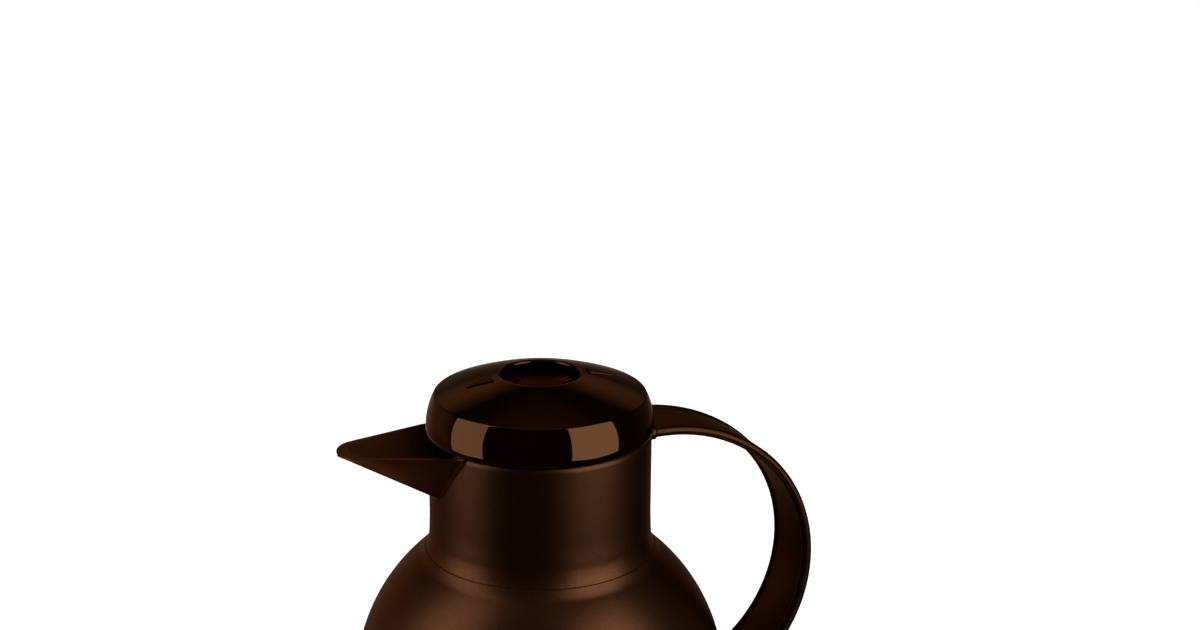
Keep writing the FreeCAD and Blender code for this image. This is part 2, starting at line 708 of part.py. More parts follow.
def make_stem_clip():
    """Open clip that holds the valve plate on the stem."""
    low = valve_low - clip_thickness
    clip = ring(stem_foot_radius + seat_gap, clip_radius, low, valve_low)
    return clip.cut(block(0, clip_radius + overrun, clip_mouth, low - overrun, valve_low + overrun))


def spring_path():
    """Helix as pairs of tangent arcs for each quarter turn, and points along it."""
    low = plate_top + spring_seat + spring_wire / 2
    high = button_under - spring_seat - spring_wire / 2
    rise_rate = (high - low) / (2 * math.pi * spring_turns)
    quarters = 4 * spring_turns
    places = []
    for number in range(quarters + 1):
        turn = number * math.pi / 2
        place = Vector(spring_radius * math.cos(turn), spring_radius * math.sin(turn), low + rise_rate * turn)
        along = unit(Vector(-spring_radius * math.sin(turn), spring_radius * math.cos(turn), rise_rate))
        places.append((place, along))
    edges = []
    for (start, leaving), (end, arriving) in zip(places, places[1:]):
        chord = end - start
        both = chord.dot(leaving + arriving)
        spread = 2 * (1 - leaving.dot(arriving))
        arm = (math.sqrt(both**2 + spread * chord.dot(chord)) - both) / spread
        middle = (start + leaving * arm + end - arriving * arm) / 2
        first, onward = tangent_arc(start, leaving, middle)
        second, _ = tangent_arc(middle, onward, end)
        edges += [first, second]
    return Part.Wire(edges), places[0]


def make_return_spring():
    """Coil spring round the stem that lifts the button and shuts the valve."""
    path, (place, along) = spring_path()
    section = Part.Wire(Part.Circle(place, along, spring_wire / 2).toShape())
    sweep = Part.BRepOffsetAPI.MakePipeShell(path)
    sweep.add(section)
    sweep.build()
    sweep.makeSolid()
    print("return_spring: least gap between turns %.2f mm" % least_gap(path))
    return sweep.shape()


def least_gap(path):
    """Least space between turns of the wire, measured between points along its middle."""
    points = path.discretize(Number=spring_turns * gap_points_per_turn + 1)
    half_turn = gap_points_per_turn // 2
    gaps = [point.distanceToPoint(other) - spring_wire
            for place, point in enumerate(points) for other in points[place + half_turn:]]
    return min(gaps)


def make_latch_rotor():
    """Ring on the button's boss with lugs that ride on the sleeve's teeth."""
    rotor = ring(rotor_bore, rotor_radius, rotor_low, rotor_top)
    lug = block(rotor_bore + rotor_wall / 2, rotor_radius + lug_reach, lug_width, rotor_low, rotor_top)
    return rotor.multiFuse(around(lug, lug_count)).removeSplitter()


def make_latch_sleeve():
    """Fixed sleeve on the stopper's plate with a crown of ramped teeth."""
    sleeve_radius = sleeve_bore + sleeve_wall
    sleeve = ring(sleeve_bore, sleeve_radius, plate_top, sleeve_top)
    turn = math.radians(rotor_turn_deg)
    lug_half = math.asin(lug_width / 2 / rotor_radius) + tooth_play / sleeve_bore
    floor = rotor_low - button_travel - slide_gap
    top_turn = turn * (rotor_low - slide_gap - sleeve_top) / button_travel
    ramp_start = top_turn - lug_half
    ramp_end = turn - lug_half
    wall = turn + lug_half
    middle_angle = (wall + ramp_start) / 2
    half_width = sleeve_radius * math.tan((wall - ramp_start) / 2)
    ramp_foot = sleeve_bore * math.tan(ramp_end - middle_angle)
    near = sleeve_bore - overrun / 2
    high = sleeve_top + overrun
    corners = [Vector(near, -half_width, high), Vector(near, -half_width, sleeve_top),
               Vector(near, ramp_foot, floor), Vector(near, half_width, floor),
               Vector(near, half_width, high)]
    cutter = Part.Face(Part.Wire(joined(corners))).extrude(Vector(sleeve_wall + overrun, 0, 0))
    cutter.rotate(Vector(0, 0, 0), Vector(0, 0, 1), math.degrees(middle_angle))
    for cut in around(cutter, tooth_count):
        sleeve = sleeve.cut(cut)
    return sleeve


pieces = {
    "ball_body": make_ball_body,
    "collar": make_collar,
    "handle": make_handle,
    "flask_jacket": make_flask_jacket,
    "flask_bulb": make_flask_bulb,
    "flask_seal": make_flask_seal,
    "flask_cushion": make_flask_cushion,
    "base_cap": make_base_cap,
    "foot_ring": make_foot_ring,
    "sealing_ring": make_sealing_ring,
    "lid_cap": make_lid_cap,
    "stopper": make_stopper,
    "stem_seal": make_stem_seal,
    "return_spring": make_return_spring,
    "latch_sleeve": make_latch_sleeve,
    "latch_rotor": make_latch_rotor,
    "push_button": make_push_button,
    "valve_stem": make_valve_stem,
    "valve_plate": make_valve_plate,
    "valve_seal": make_valve_seal,
    "stem_clip": make_stem_clip,
}

os.makedirs("parts", exist_ok=True)
for name, make in pieces.items():
    solid = make()
    solid.exportStep("parts/%s.step" % name)
    print("%-14s %d solid(s), valid %s" % (name, len(solid.Solids), solid.isValid()))
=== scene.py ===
import math

import bmesh
import bpy
import numpy as np
from bpy.props import FloatProperty, FloatVectorProperty, IntProperty, PointerProperty
from mathutils import Matrix, Vector


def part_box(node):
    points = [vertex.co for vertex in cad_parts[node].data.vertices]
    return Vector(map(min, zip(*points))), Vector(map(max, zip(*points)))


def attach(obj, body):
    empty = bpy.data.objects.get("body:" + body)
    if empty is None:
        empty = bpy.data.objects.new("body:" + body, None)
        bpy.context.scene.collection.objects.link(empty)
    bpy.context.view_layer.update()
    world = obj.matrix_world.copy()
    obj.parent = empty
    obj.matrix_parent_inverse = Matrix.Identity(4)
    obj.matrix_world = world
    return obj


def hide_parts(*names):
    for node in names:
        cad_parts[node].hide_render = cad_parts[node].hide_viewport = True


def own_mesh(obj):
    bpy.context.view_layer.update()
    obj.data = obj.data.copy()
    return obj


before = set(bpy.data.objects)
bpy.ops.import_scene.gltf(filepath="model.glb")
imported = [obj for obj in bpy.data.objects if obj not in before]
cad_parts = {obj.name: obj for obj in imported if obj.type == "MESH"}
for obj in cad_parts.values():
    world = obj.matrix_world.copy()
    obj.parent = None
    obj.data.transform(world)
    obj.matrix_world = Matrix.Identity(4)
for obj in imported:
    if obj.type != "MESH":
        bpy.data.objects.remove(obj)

bl_info = {
    "name": "Thermal jug",
    "version": (1, 0, 0),
    "blender": (4, 5, 0),
    "location": "View3D > Sidebar > Jug",
    "description": "Ball-shaped thermal jug with a beak spout, a ribbon handle and a push-button closure",
    "category": "Object",
}

MM = 0.001
TURN = 2 * math.pi
FIT = 0.1           # gap between parts that fit into each other, in millimetres
FLASK_TIP = 4.5     # sealed tip below the flask's floor, in millimetres


def level(node, end):
    """Lower (0) or upper (1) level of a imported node, in millimetres."""
    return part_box(node)[end].z / MM


def levels(node):
    """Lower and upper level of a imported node, in millimetres."""
    return level(node, 0), level(node, 1)


def length(label, millimetres, words):
    """Property for a length that is given here in millimetres."""
    return FloatProperty(name=label, description=words, default=millimetres * MM, unit="LENGTH", precision=5)


def amount(label, value, words, **more):
    """Property for an amount that isn't a length in millimetres."""
    return FloatProperty(name=label, description=words, default=value, **more)


def colour(label, red, green, blue, words):
    """Property for a linear colour."""
    return FloatVectorProperty(name=label, description=words, default=(red, green, blue), subtype="COLOR",
                               min=0, max=1)


class JUG_PG_body(bpy.types.PropertyGroup):
    """Sizes of the ball, the collar, the spout and the handle."""
    ball_radius: length("Ball radius", 78.2, "Outside of the ball")
    base_edge_radius: length("Base edge radius", 47.66, "Lower edge of the ball")
    ball_wall: length("Ball wall", 2.4, "Thickness of the ball's shell")
    neck_radius: length("Neck radius", 45.75, "Outside of the collar")
    collar_wall: length("Collar wall", 2.6, "Thickness of the collar")
    rim_round: length("Rim round", 2.4, "Rounding of the collar's upper edge")
    flare_radius: length("Flare radius", 16.0, "Hollow curve from the neck out to the ball")
    seam_turn: amount("Seam turn", math.radians(29.0), "Turn of that curve where the collar ends",
                      subtype="ANGLE")
    seam_gap: length("Seam gap", 0.03, "Gap between the collar's lower edge and the ball")
    seam_step: length("Seam step", 0.22, "How far the ball's edge stands out beyond the collar at the seam")
    spout_length: length("Spout length", 39.65, "From the neck out to the nose")
    spout_depth: length("Spout depth", 23.7, "From the rim down to the keel at the neck")
    spout_half_width: length("Spout half width", 21.4, "Half of the spout's width at the neck")
    spout_nose_radius: length("Nose radius", 12.4, "Round nose of the spout, seen from above")
    spout_root_round: length("Spout root round", 1.2, "Rounding where the spout leaves the neck")
    spout_rise: length("Spout rise", 0.85, "How far the nose stands above the rim")
    handle_root_width: length("Handle root width", 31.2, "Width of the ribbon at the collar")
    handle_waist_width: length("Handle waist width", 29.6, "Least width of the ribbon, at the bend")
    handle_foot_width: length("Handle foot width", 31.2, "Width of the ribbon at the ball")
    handle_bead: length("Handle bead", 4.2, "Thickness of the ribbon's rounded edges")
    handle_crown: length("Handle crown", 3.5, "Thickness in the middle of the ribbon")
    handle_groove: length("Handle groove", 2.6, "Thickness beside the rounded edges")


class JUG_PG_closure(bpy.types.PropertyGroup):
    """Sizes of the lid, the button and what is under them."""
    lid_radius: length("Lid radius", 46.4, "Lower edge of the lid")
    lid_bulge: length("Lid bulge", 0.4, "How far the lid's side swells out")
    shoulder_inset: length("Shoulder inset", 3.0, "Shoulder of the lid in from its lower edge")
    shoulder_height: length("Shoulder height", 14.95, "Shoulder of the lid above its lower edge")
    well_radius: length("Well radius", 16.1, "Finger well in the middle of the lid")
    mark_height: length("Mark height", 0.5, "How far the two arrow marks stand up from the lid")
    rib_count: IntProperty(name="Grip ribs", description="Radial ribs on the button", default=30, min=3)
    rib_height: length("Rib height", 0.5, "Height of the button's ribs")
    spring_wire: length("Spring wire", 0.9, "Thickness of the return spring's wire")
    spring_turns: amount("Spring turns", 5.5, "Turns of the return spring", min=2)


class JUG_PG_finish(bpy.types.PropertyGroup):
    """Colours of the finishes."""
    satin: colour("Satin lacquer", 0.058, 0.0236, 0.0108, "Metallic lacquer on the ball and the collar")
    handle: colour("Handle lacquer", 0.035, 0.0142, 0.0065, "Metallic lacquer on the handle")
    gloss: colour("Gloss lacquer", 0.044, 0.0187, 0.0084, "Deep lacquer of the lid")
    button: colour("Button", 0.030, 0.0122, 0.0056, "Satin face of the push button")
    channel: colour("Channel moulding", 0.025, 0.0076, 0.0027, "Bare moulding inside the collar and spout")
    dark: colour("Dark moulding", 0.022, 0.014, 0.010, "Stopper and base")
    pale: colour("Pale moulding", 0.68, 0.65, 0.58, "Valve parts")
    silver: colour("Silvering", 0.90, 0.89, 0.86, "Silvered glass of the flask")
    silicone: colour("Silicone", 0.46, 0.45, 0.43, "Sealing rings")
    rubber: colour("Rubber", 0.020, 0.018, 0.017, "Foot ring and flask cushion")
    steel: colour("Steel", 0.58, 0.58, 0.60, "Spring and clip")


class JUG_PG_stage(bpy.types.PropertyGroup):
    """Camera, light and background."""
    lens: amount("Lens", 60.5, "Focal length of the camera", unit="CAMERA")
    left_light: amount("Left light", 2.4, "Radiance of the left panel", min=0)
    right_light: amount("Right light", 3.2, "Radiance of the right panel", min=0)
    back_light: amount("Back light", 0.5, "Radiance of the two rear panels", min=0)
    fill: amount("Fill", 0.45, "Even light from all round", min=0)
    floor_size: amount("Floor size", 60.0, "Side of the floor", unit="LENGTH")


def unit(vector):
    """Vector, or rows of vectors, with a length of one."""
    return vector / np.linalg.norm(vector, axis=-1, keepdims=True)


def arc(centre, radius, first_deg, last_deg, count):
    """Points on a circle between two angles, both ends included."""
    angle = np.radians(np.linspace(first_deg, last_deg, count))
    return np.column_stack([centre[0] + radius * np.cos(angle), centre[1] + radius * np.sin(angle)])


def bow(start, along, end, count):
    """Points on the circle that leaves start in the direction along and reaches end."""
    start, end, along = np.array(start, float), np.array(end, float), unit(np.array(along, float))
    chord = end - start
    normal = np.array([-along[1], along[0]])
    bend = 2 * (chord @ normal) / (chord @ chord)
    if abs(bend) < 1e-9:
        return start + np.linspace(0, 1, count)[:, None] * chord
    angle = np.linspace(0, 2 * math.atan2(chord @ normal, chord @ along), count)[:, None]
    return start + (np.sin(angle) * along + (1 - np.cos(angle)) * normal) / bend


def rounded_corner(before, corner, after, radius, steps):
    """Arc that touches both sides of a corner: its centre lies on the corner's bisector."""
    if radius <= 0:
        return corner[None]
    to_before, to_after = unit(before - corner), unit(after - corner)
    half = math.acos(np.clip(to_before @ to_after, -1, 1)) / 2
    centre = corner + unit(to_before + to_after) * (radius / math.sin(half))
    reach = radius / math.tan(half)
    first, last = corner + to_before * reach - centre, corner + to_after * reach - centre
    swing = math.pi - 2 * half
    share = np.linspace(0, 1, steps)[:, None]
    return centre + (np.sin((1 - share) * swing) * first + np.sin(share * swing) * last) / math.sin(swing)


def outline(*parts, steps=5):
    """Closed line of radius and height. A part is a corner with its rounding, or an array of points."""
    ends = [np.atleast_2d(np.array(part, float))[:, :2] for part in parts]
    rows = []
    for number, part in enumerate(parts):
        if isinstance(part, np.ndarray):
            rows.append(part)
            continue
        after = ends[(number + 1) % len(parts)][0]
        radius = part[2] if len(part) > 2 else 0
        rows.append(rounded_corner(ends[number - 1][-1], ends[number][0], after, radius, steps))
    return np.concatenate(rows)


def lattice(name, points, wrap_along=True, wrap_across=True, sharp_deg=38):
    """Piece from a grid of points in millimetres, one face for each cell of the grid.

    A wrapped direction joins its end to its start. Points that fall together, as at a pole, are merged, the
    faces are turned outwards, and edges that bend by more than an angle stay sharp."""
    rows, columns = points.shape[:2]
    here = np.arange(rows * columns).reshape(rows, columns)
    next_row = np.roll(here, -1, axis=0)
    faces = np.stack([here, next_row, np.roll(next_row, -1, axis=1), np.roll(here, -1, axis=1)], axis=-1)
    faces = faces[: rows if wrap_along else -1, : columns if wrap_across else -1].reshape(-1, 4)
    mesh = bpy.data.meshes.new(name)
    mesh.from_pydata(points.reshape(-1, 3) * MM, [], faces)
    work = bmesh.new()
    work.from_mesh(mesh)
    bmesh.ops.remove_doubles(work, verts=work.verts, dist=1e-6)
    bmesh.ops.dissolve_degenerate(work, edges=work.edges, dist=1e-7)
    bmesh.ops.recalc_face_normals(work, faces=work.faces)
    work.to_mesh(mesh)
    work.free()
    mesh.shade_smooth()
    mesh.set_sharp_from_angle(angle=math.radians(sharp_deg))
    piece = bpy.data.objects.new(name, mesh)
    bpy.context.scene.collection.objects.link(piece)
    return piece


def rise(radius, out):
    """Height of a point of a circle above its centre, at a distance out from it."""
    return math.sqrt(radius**2 - out**2)


def capped(grid):
    """Grid with one more row at either end, all in the middle of the end row, which closes a tube."""
    ends = np.broadcast_to(grid[[0, -1]].mean(axis=1, keepdims=True), (2, *grid.shape[1:]))
    return np.concatenate([ends[:1], grid, ends[1:]])


def turned_points(profile, steps):
    """Grid of a closed profile turned about the axis: radius times cosine and sine of angle, and height."""
    angle = np.linspace(0, TURN, steps, endpoint=False)[:, None]
    radius, height = profile[None, :, 0], profile[None, :, 1]
    return np.stack([radius * np.cos(angle), radius * np.sin(angle), height + 0 * angle], axis=-1)


def turned(name, profile, steps, **shape):
    """Piece from a closed profile turned about the jug's axis."""
    return lattice(name, turned_points(profile, steps), **shape)


def dress(piece, body, slot, look, *nodes):
    """Hangs a new piece on a body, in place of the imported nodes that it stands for, with a named finish."""
    piece.data.materials.append(finish(look))
    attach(piece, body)
    if nodes:
        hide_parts(*nodes)


def line_inside(piece, look, least=0.05):
    """Gives a second finish to the faces of a piece that look towards the jug's axis."""
    faces = piece.data.polygons
    centre, normal = np.empty((len(faces), 3)), np.empty((len(faces), 3))
    faces.foreach_get("center", centre.ravel())
    faces.foreach_get("normal", normal.ravel())
    outward = (unit(centre[:, :2]) * normal[:, :2]).sum(axis=1)
    piece.data.materials.append(finish(look))
    faces.foreach_set("material_index", (outward < -least).astype(np.int32))


def soft_greater(first, second, blend):
    """Greater of two arrays, with a fillet where they are within the blend of each other."""
    near = np.maximum(blend - np.abs(first - second), 0) / blend
    return np.maximum(first, second) + near**2 * blend / 4


def smooth_step(low, high, value):
    """0 below low, 1 above high, and a smooth rise between."""
    share = np.clip((value - low) / (high - low), 0, 1)
    return share * share * (3 - 2 * share)


class Spout:
    """Beak of V sections, rounded at the keel, that run from the neck to a round nose.

    Half width and depth of the V fall evenly with the distance from the axis, and the plan ends in a nose
    circle that touches the two straight sides."""

    def __init__(self, neck, half_width, nose_radius, tip, depth, end_depth, keel_share=0.36):
        self.neck, self.half_width, self.nose_radius, self.tip = neck, half_width, nose_radius, tip
        self.depth, self.keel_share = depth, keel_share
        self.nose = tip - nose_radius
        run = self.nose - neck
        lean = math.atan2(half_width, run) - math.asin(nose_radius / math.hypot(run, half_width))
        self.slope, self.touch = math.tan(lean), self.nose + nose_radius * math.sin(lean)
        self.fall = (depth - end_depth) / (tip - neck)

    def room(self, out, down):
        """Half width that is free at a distance out from the axis and at a depth below the rim."""
        width = self.half_width - self.slope * (out - self.neck)
        depth = self.depth - self.fall * (out - self.neck)
        keel = self.keel_share * depth
        centre = depth - keel
        reach = np.hypot(width, centre)
        lean = np.arctan2(centre, width) + np.arcsin(np.clip(keel / reach, -1, 1))
        side = np.sqrt(np.maximum(reach**2 - keel**2, 0))
        knee = side * np.sin(lean)
        straight = width - down * side * np.cos(lean) / np.maximum(knee, 1e-6)
        bowl = np.sqrt(np.maximum(keel**2 - (down - centre) ** 2, 0))
        section = np.where(down <= knee, straight, np.where(down <= depth, bowl, -1.0))
        nose = np.sqrt(np.maximum(self.nose_radius**2 - (out - self.nose) ** 2, 0))
        plan = np.where(out <= self.touch, width, np.where(out <= self.tip, nose, -1.0))
        return np.minimum(section, plan)

    def reach(self, swing, down, least_facing=0.2, margin=1.2, halvings=42):
        """Distance from the axis to the spout's side at an angle from its middle, found by halving steps."""
        facing = np.cos(swing) > least_facing
        low = np.zeros(np.broadcast(swing, down).shape)
        high = np.full_like(low, self.tip * margin)
        for _ in range(halvings):
            middle = (low + high) / 2
            inside = self.room(middle * np.cos(swing), down) >= np.abs(middle * np.sin(swing))
            low, high = np.where(inside, middle, low), np.where(inside, high, middle)
        return np.where(facing, low, 0.0)


def ball_centre(body):
    """Height of the ball's centre."""
    return level("ball_body", 0) + rise(body.ball_radius / MM, body.base_edge_radius / MM)


def flare_end(body):
    """Turn at which the hollow curve from the neck meets the ball, and its centre's distance and height."""
    radius, out = body.flare_radius / MM, (body.neck_radius + body.flare_radius) / MM
    above = rise(body.ball_radius / MM + radius, out)
    return math.atan2(above, out), out, ball_centre(body) + above


def flare_line(body, turn, proud=0.0):
    """Points of the hollow curve from the neck to the ball, after turns from the neck."""
    _, out, height = flare_end(body)
    radius = body.flare_radius / MM - proud
    return np.column_stack([out - radius * np.cos(turn), height - radius * np.sin(turn)])


def ball_profile(body):
    """Outline of the ball's shell: outer and inner circle, hollow shoulder, upstand and base socket."""
    upstand_wall, socket_inset, socket_step, socket_depth = 2.0, 7.66, 2.2, 10.0
    seam_round, fine, soft, base_trim_deg = 0.45, 0.2, 0.4, 0.5
    radius, edge, wall = body.ball_radius / MM, body.base_edge_radius / MM, body.ball_wall / MM
    low, top = levels("ball_body")
    middle, inner = ball_centre(body), radius - wall
    spigot = (body.neck_radius - body.collar_wall) / MM - FIT
    bore, ledge = spigot - upstand_wall, middle + rise(radius, spigot)
    socket, socket_top = edge - socket_inset, low + socket_depth
    groove = socket + socket_step
    shoulder, step = flare_end(body)[0], body.seam_step / MM
    base_deg = base_trim_deg - math.degrees(math.acos(edge / radius))
    outside = arc((0, middle), radius, base_deg, math.degrees(shoulder), 150)
    turn = np.linspace(shoulder, body.seam_turn, 26)[1:-1]
    hollow = flare_line(body, turn, step * smooth_step(shoulder, body.seam_turn, turn))
    seam = flare_line(body, body.seam_turn, step)[0]
    floor_deg = -math.degrees(math.asin((middle - low - wall) / inner))
    inside = arc((0, middle), inner, math.degrees(math.acos(bore / inner)), floor_deg, 90)
    return outline(outside, hollow, (*seam, seam_round), (spigot, ledge, fine), (spigot, top, soft),
                   (bore, top, soft), inside, (groove, low + wall, soft), (groove, socket_top, soft),
                   (socket, socket_top, soft), (socket, low, 0.3), (edge, low, soft))


def spout_angles():
    """Column of angles from the spout's middle all round, closest together along the spout's sides."""
    near = np.concatenate([np.linspace(0, 9, 36, endpoint=False), np.linspace(9, 34, 100, endpoint=False),
                           np.linspace(34, 180, 74)])
    return np.radians(np.concatenate([near, -near[-2:0:-1]]))[:, None]


def collar_foot(body):
    """Level of the collar's inner lower edge, and the points of its rounded outer one at the seam."""
    corner_round, corner_steps, upward = 0.15, 6, 0.1
    bore = (body.neck_radius - body.collar_wall) / MM
    foot_in = ball_centre(body) + rise(body.ball_radius / MM, bore - FIT) + body.seam_gap / MM
    seam_end = body.seam_turn - body.seam_gap / body.flare_radius
    corner, after = flare_line(body, np.array([seam_end, seam_end - upward]))
    return foot_in, rounded_corner(np.array([bore, foot_in]), corner, after, corner_round, corner_steps)


def collar_points(body):
    """Grid of the collar: for each angle a closed line up the outside, over the rim and down the channel.

    The outside is the greater of the neck's radius and the spout's reach at that angle and height, with a
    fillet between them. The inside is the greater of the bore and the reach of a smaller spout, the
    channel."""
    side_wall, floor_wall, nose_wall, least_wall = 1.7, 2.2, 5.0, 0.02
    end_depth, channel_end_depth, channel_fillet = 1.5, 0.9, 1.0
    ease, ease_below, ease_above, ease_foot = 0.25, 2.0, 9.0, 5.0   # slight swell where the flare begins
    lip, lip_round, lip_start, lip_full = 0.25, 0.45, 0.3, 4.0
    mouth_bore, mouth_out, deck_wall, deck_round = 26.0, 29.6, 2.6, 0.8
    wall_start = 0.2
    neck, rim = body.neck_radius / MM, level("collar", 1)
    bore = neck - body.collar_wall / MM
    depth, half_width = body.spout_depth / MM, body.spout_half_width / MM
    nose_radius, tip = body.spout_nose_radius / MM, neck + body.spout_length / MM
    rim_round, root_round = body.rim_round / MM, body.spout_root_round / MM
    deck = rim - depth + floor_wall
    swing = spout_angles()
    channel = Spout(neck, half_width - side_wall, nose_radius - side_wall, tip - nose_wall,
                    depth - floor_wall, channel_end_depth)
    slope = Spout(neck, half_width, nose_radius, tip, depth, end_depth).slope

    flare = body.flare_radius / MM
    _, flare_out, flare_top = flare_end(body)
    foot_in, foot = collar_foot(body)
    foot_out = foot[-1, 1] + wall_start

    def outside(height, inset):
        shift = np.sqrt(1 + slope**2) * inset
        beak = Spout(neck, half_width - shift, nose_radius - inset, tip - inset, depth, end_depth,
                     keel_share=0.48)
        swell = ease * (1 - smooth_step(flare_top - ease_below, flare_top + ease_above, height))
        swell = swell * smooth_step(foot_out, foot_out + ease_foot, height)
        sleeve = flare_out + swell - np.sqrt(flare**2 - np.maximum(flare_top - height, 0) ** 2)
        return soft_greater(sleeve - inset + 0 * swing, beak.reach(swing, rim - height), root_round)

    # Up the wall, then over the rim, whose rounding is finer along the spout
    in_spout = smooth_step(lip_start, lip_full, outside(np.array([[rim]]), 0.0) - neck)
    edge = rim_round + in_spout * (lip_round - rim_round)
    below_spout = (rim - 1.25 * depth - foot_out) / (rim - foot_out)
    share = np.concatenate([np.linspace(0, below_spout, 22, endpoint=False), np.linspace(below_spout, 1, 58)])
    wall_height = foot_out + share * (rim - edge - foot_out)
    lines = [np.stack([outside(wall_height, 0.0), wall_height], axis=-1)]
    for angle in np.radians(np.linspace(0, 90, 8)[1:]):
        inset, height = edge * (1 - math.cos(angle)), rim - edge * (1 - math.sin(angle))
        lines.append(np.stack([roll_radius(outside, height, inset), height], axis=-1))
    # Across the rim's flat and down the channel
    top_out = lines[-1][..., 0]
    most = top_out - least_wall
    inner_height = np.linspace(rim - lip, deck + deck_round, 46) + 0 * swing
    inner_reach = channel.reach(swing, rim - inner_height)
    inner_radius = soft_greater(bore + 0 * inner_height, inner_reach, channel_fillet)
    flat_radius = top_out + np.array([0.5, 1.0]) * (np.minimum(inner_radius[:, :1] + lip, most) - top_out)
    lines.append(np.stack([flat_radius, rim + 0 * flat_radius], axis=-1))
    lines.append(np.stack([np.minimum(inner_radius, most), inner_height], axis=-1))
    # Over the deck, down and up the mouth, and along the bore to the foot
    mouth, under = level("flask_seal", 1), deck - deck_wall
    stem = outline((bore, deck + 4.0), (bore, deck, deck_round), (mouth_bore, deck, 0.6),
                   (mouth_bore, mouth, 0.4), (mouth_out, mouth, 0.8), (mouth_out, under, 0.8),
                   (bore, under, 0.5), (bore, foot_in, 0.2), foot)
    lines.append(np.broadcast_to(stem[1:], (len(swing), len(stem) - 1, 2)))
    line = np.concatenate(lines, axis=1)
    radius, height = line[..., 0], line[..., 1]
    out_share = np.clip((radius - neck) / (tip - neck), 0, 1) * (height > flare_top)
    height = height + body.spout_rise / MM * out_share
    angle = math.pi - swing
    return np.stack([radius * np.cos(angle), radius * np.sin(angle), height], axis=-1)


def roll_radius(outside, height, inset):
    """Radius of the rim's rounding, where height and inset change with the angle: the outline is read at five
    insets and blended by share."""
    steps = np.linspace(0, float(inset.max()) + 1e-9, 5)
    rows = np.concatenate([outside(height, step) for step in steps], axis=1)
    place = np.clip(inset[:, 0] / steps[1], 0, len(steps) - 1.000001)
    first = place.astype(int)
    share = place - first
    index = np.arange(len(rows))
    return (rows[index, first] * (1 - share) + rows[index, first + 1] * share)[:, None]


def handle_path(body):
    """Stops along the ribbon's middle, and its distance out and height there.

    A short straight in the collar leads into an arc over the bend, and that into an arc down to the ball."""
    lean, turn, upper_radius, lead = math.radians(1.8), math.radians(41.6), 74.5, 1.2
    root_drop, foot_drop, root_run = 3.4, 17.0, 3.4
    ball = body.ball_radius / MM
    along, side = np.array([math.cos(lean), math.sin(lean)]), np.array([math.sin(lean), -math.cos(lean)])
    onward = np.array([math.cos(lean - turn), math.sin(lean - turn)])
    root = np.array([body.neck_radius / MM, level("collar", 1) - root_drop])
    knee = root + upper_radius * (along * math.sin(turn) + side * (1 - math.cos(turn)))
    drop = math.asin(foot_drop / ball)
    foot = np.array([math.cos(drop), -math.sin(drop)]) * (ball - body.ball_wall / MM) + [0, ball_centre(body)]
    bend, leg = bow(root, along, knee, 400), bow(knee, onward, foot, 600)
    path = np.concatenate([[root - lead * along], bend, leg[1:]])
    run = np.concatenate([[0], np.cumsum(np.linalg.norm(np.diff(path, axis=0), axis=1))])
    stops = np.concatenate([np.linspace(0, root_run, 22, endpoint=False),
                            np.linspace(root_run, run[-1], 150)])
    return stops, np.column_stack([np.interp(stops, run, path[:, 0]), np.interp(stops, run, path[:, 1])])


def handle_points(body):
    """Grid of the ribbon handle: a dog-bone section carried along the ribbon's middle.

    The section is a crowned web between two round beads. It is widest at its ends, its root is set back to
    follow the collar's circle, and near the collar it is set outwards along its own normal, as a flange."""
    flange, flange_start, flange_end, root_blend = 0.8, 2.2, 2.8, 6.0
    neck = body.neck_radius / MM
    stops, place = handle_path(body)
    ahead = unit(np.gradient(place, stops, axis=0))
    normal = np.column_stack([-ahead[:, 1], ahead[:, 0]])
    share, waist = stops / stops[-1], body.handle_waist_width
    width = waist + (body.handle_root_width - waist) * (1 - smooth_step(0.0, 0.2, share))
    width = (width + (body.handle_foot_width - waist) * smooth_step(0.2, 0.9, share)) / MM
    bead, groove, crown = np.array([body.handle_bead, body.handle_groove, body.handle_crown]) / MM / 2
    open_deg = math.degrees(math.asin(groove / bead))
    circle = arc((0, 0), bead, -180 + open_deg, 180 - open_deg, 27)
    web_share = np.linspace(-1, 1, 25)[1:-1]
    web_up = groove + (crown - groove) * (1 - web_share**2)
    half = (width / 2 - bead)[:, None]
    web = (half - rise(bead, groove)) * web_share
    across = np.concatenate([half + circle[:, 0], -web, -half - circle[:, 0], web], axis=1)
    up = np.broadcast_to(np.concatenate([circle[:, 1], web_up, -circle[:, 1], -web_up]), across.shape)
    lift = flange * (1 - smooth_step(flange_start, flange_end, stops))[:, None]
    edge_across, edge_up = (np.roll(line, -1, axis=1) - np.roll(line, 1, axis=1) for line in (across, up))
    size = np.hypot(edge_across, edge_up)
    across, up = across + lift * edge_up / size, up - lift * edge_across / size
    set_back = (neck - np.sqrt(neck**2 - across**2)) * (1 - smooth_step(0.0, root_blend, stops))[:, None]
    out, height = (place[:, None, axis] + normal[:, None, axis] * up for axis in (0, 1))
    return capped(np.stack([out - set_back, across, height], axis=-1))


def lid_dome(closure):
    """Centre and radius of the circle of the lid's dome, and the shoulder and the well's edge on it."""
    edge_inset, dome_rise = 1.2, 0.5
    low, top = levels("lid_cap")
    shoulder_radius = (closure.lid_radius - closure.shoulder_inset) / MM
    shoulder = np.array([shoulder_radius, low + closure.shoulder_height / MM])
    edge = np.array([closure.well_radius / MM + edge_inset, top])
    middle = (shoulder + edge) / 2 + [0, dome_rise]
    others = np.array([middle, edge])
    centre = np.linalg.solve(2 * (others - shoulder), (others**2).sum(axis=1) - shoulder @ shoulder)
    return centre, float(np.linalg.norm(shoulder - centre)), shoulder, edge


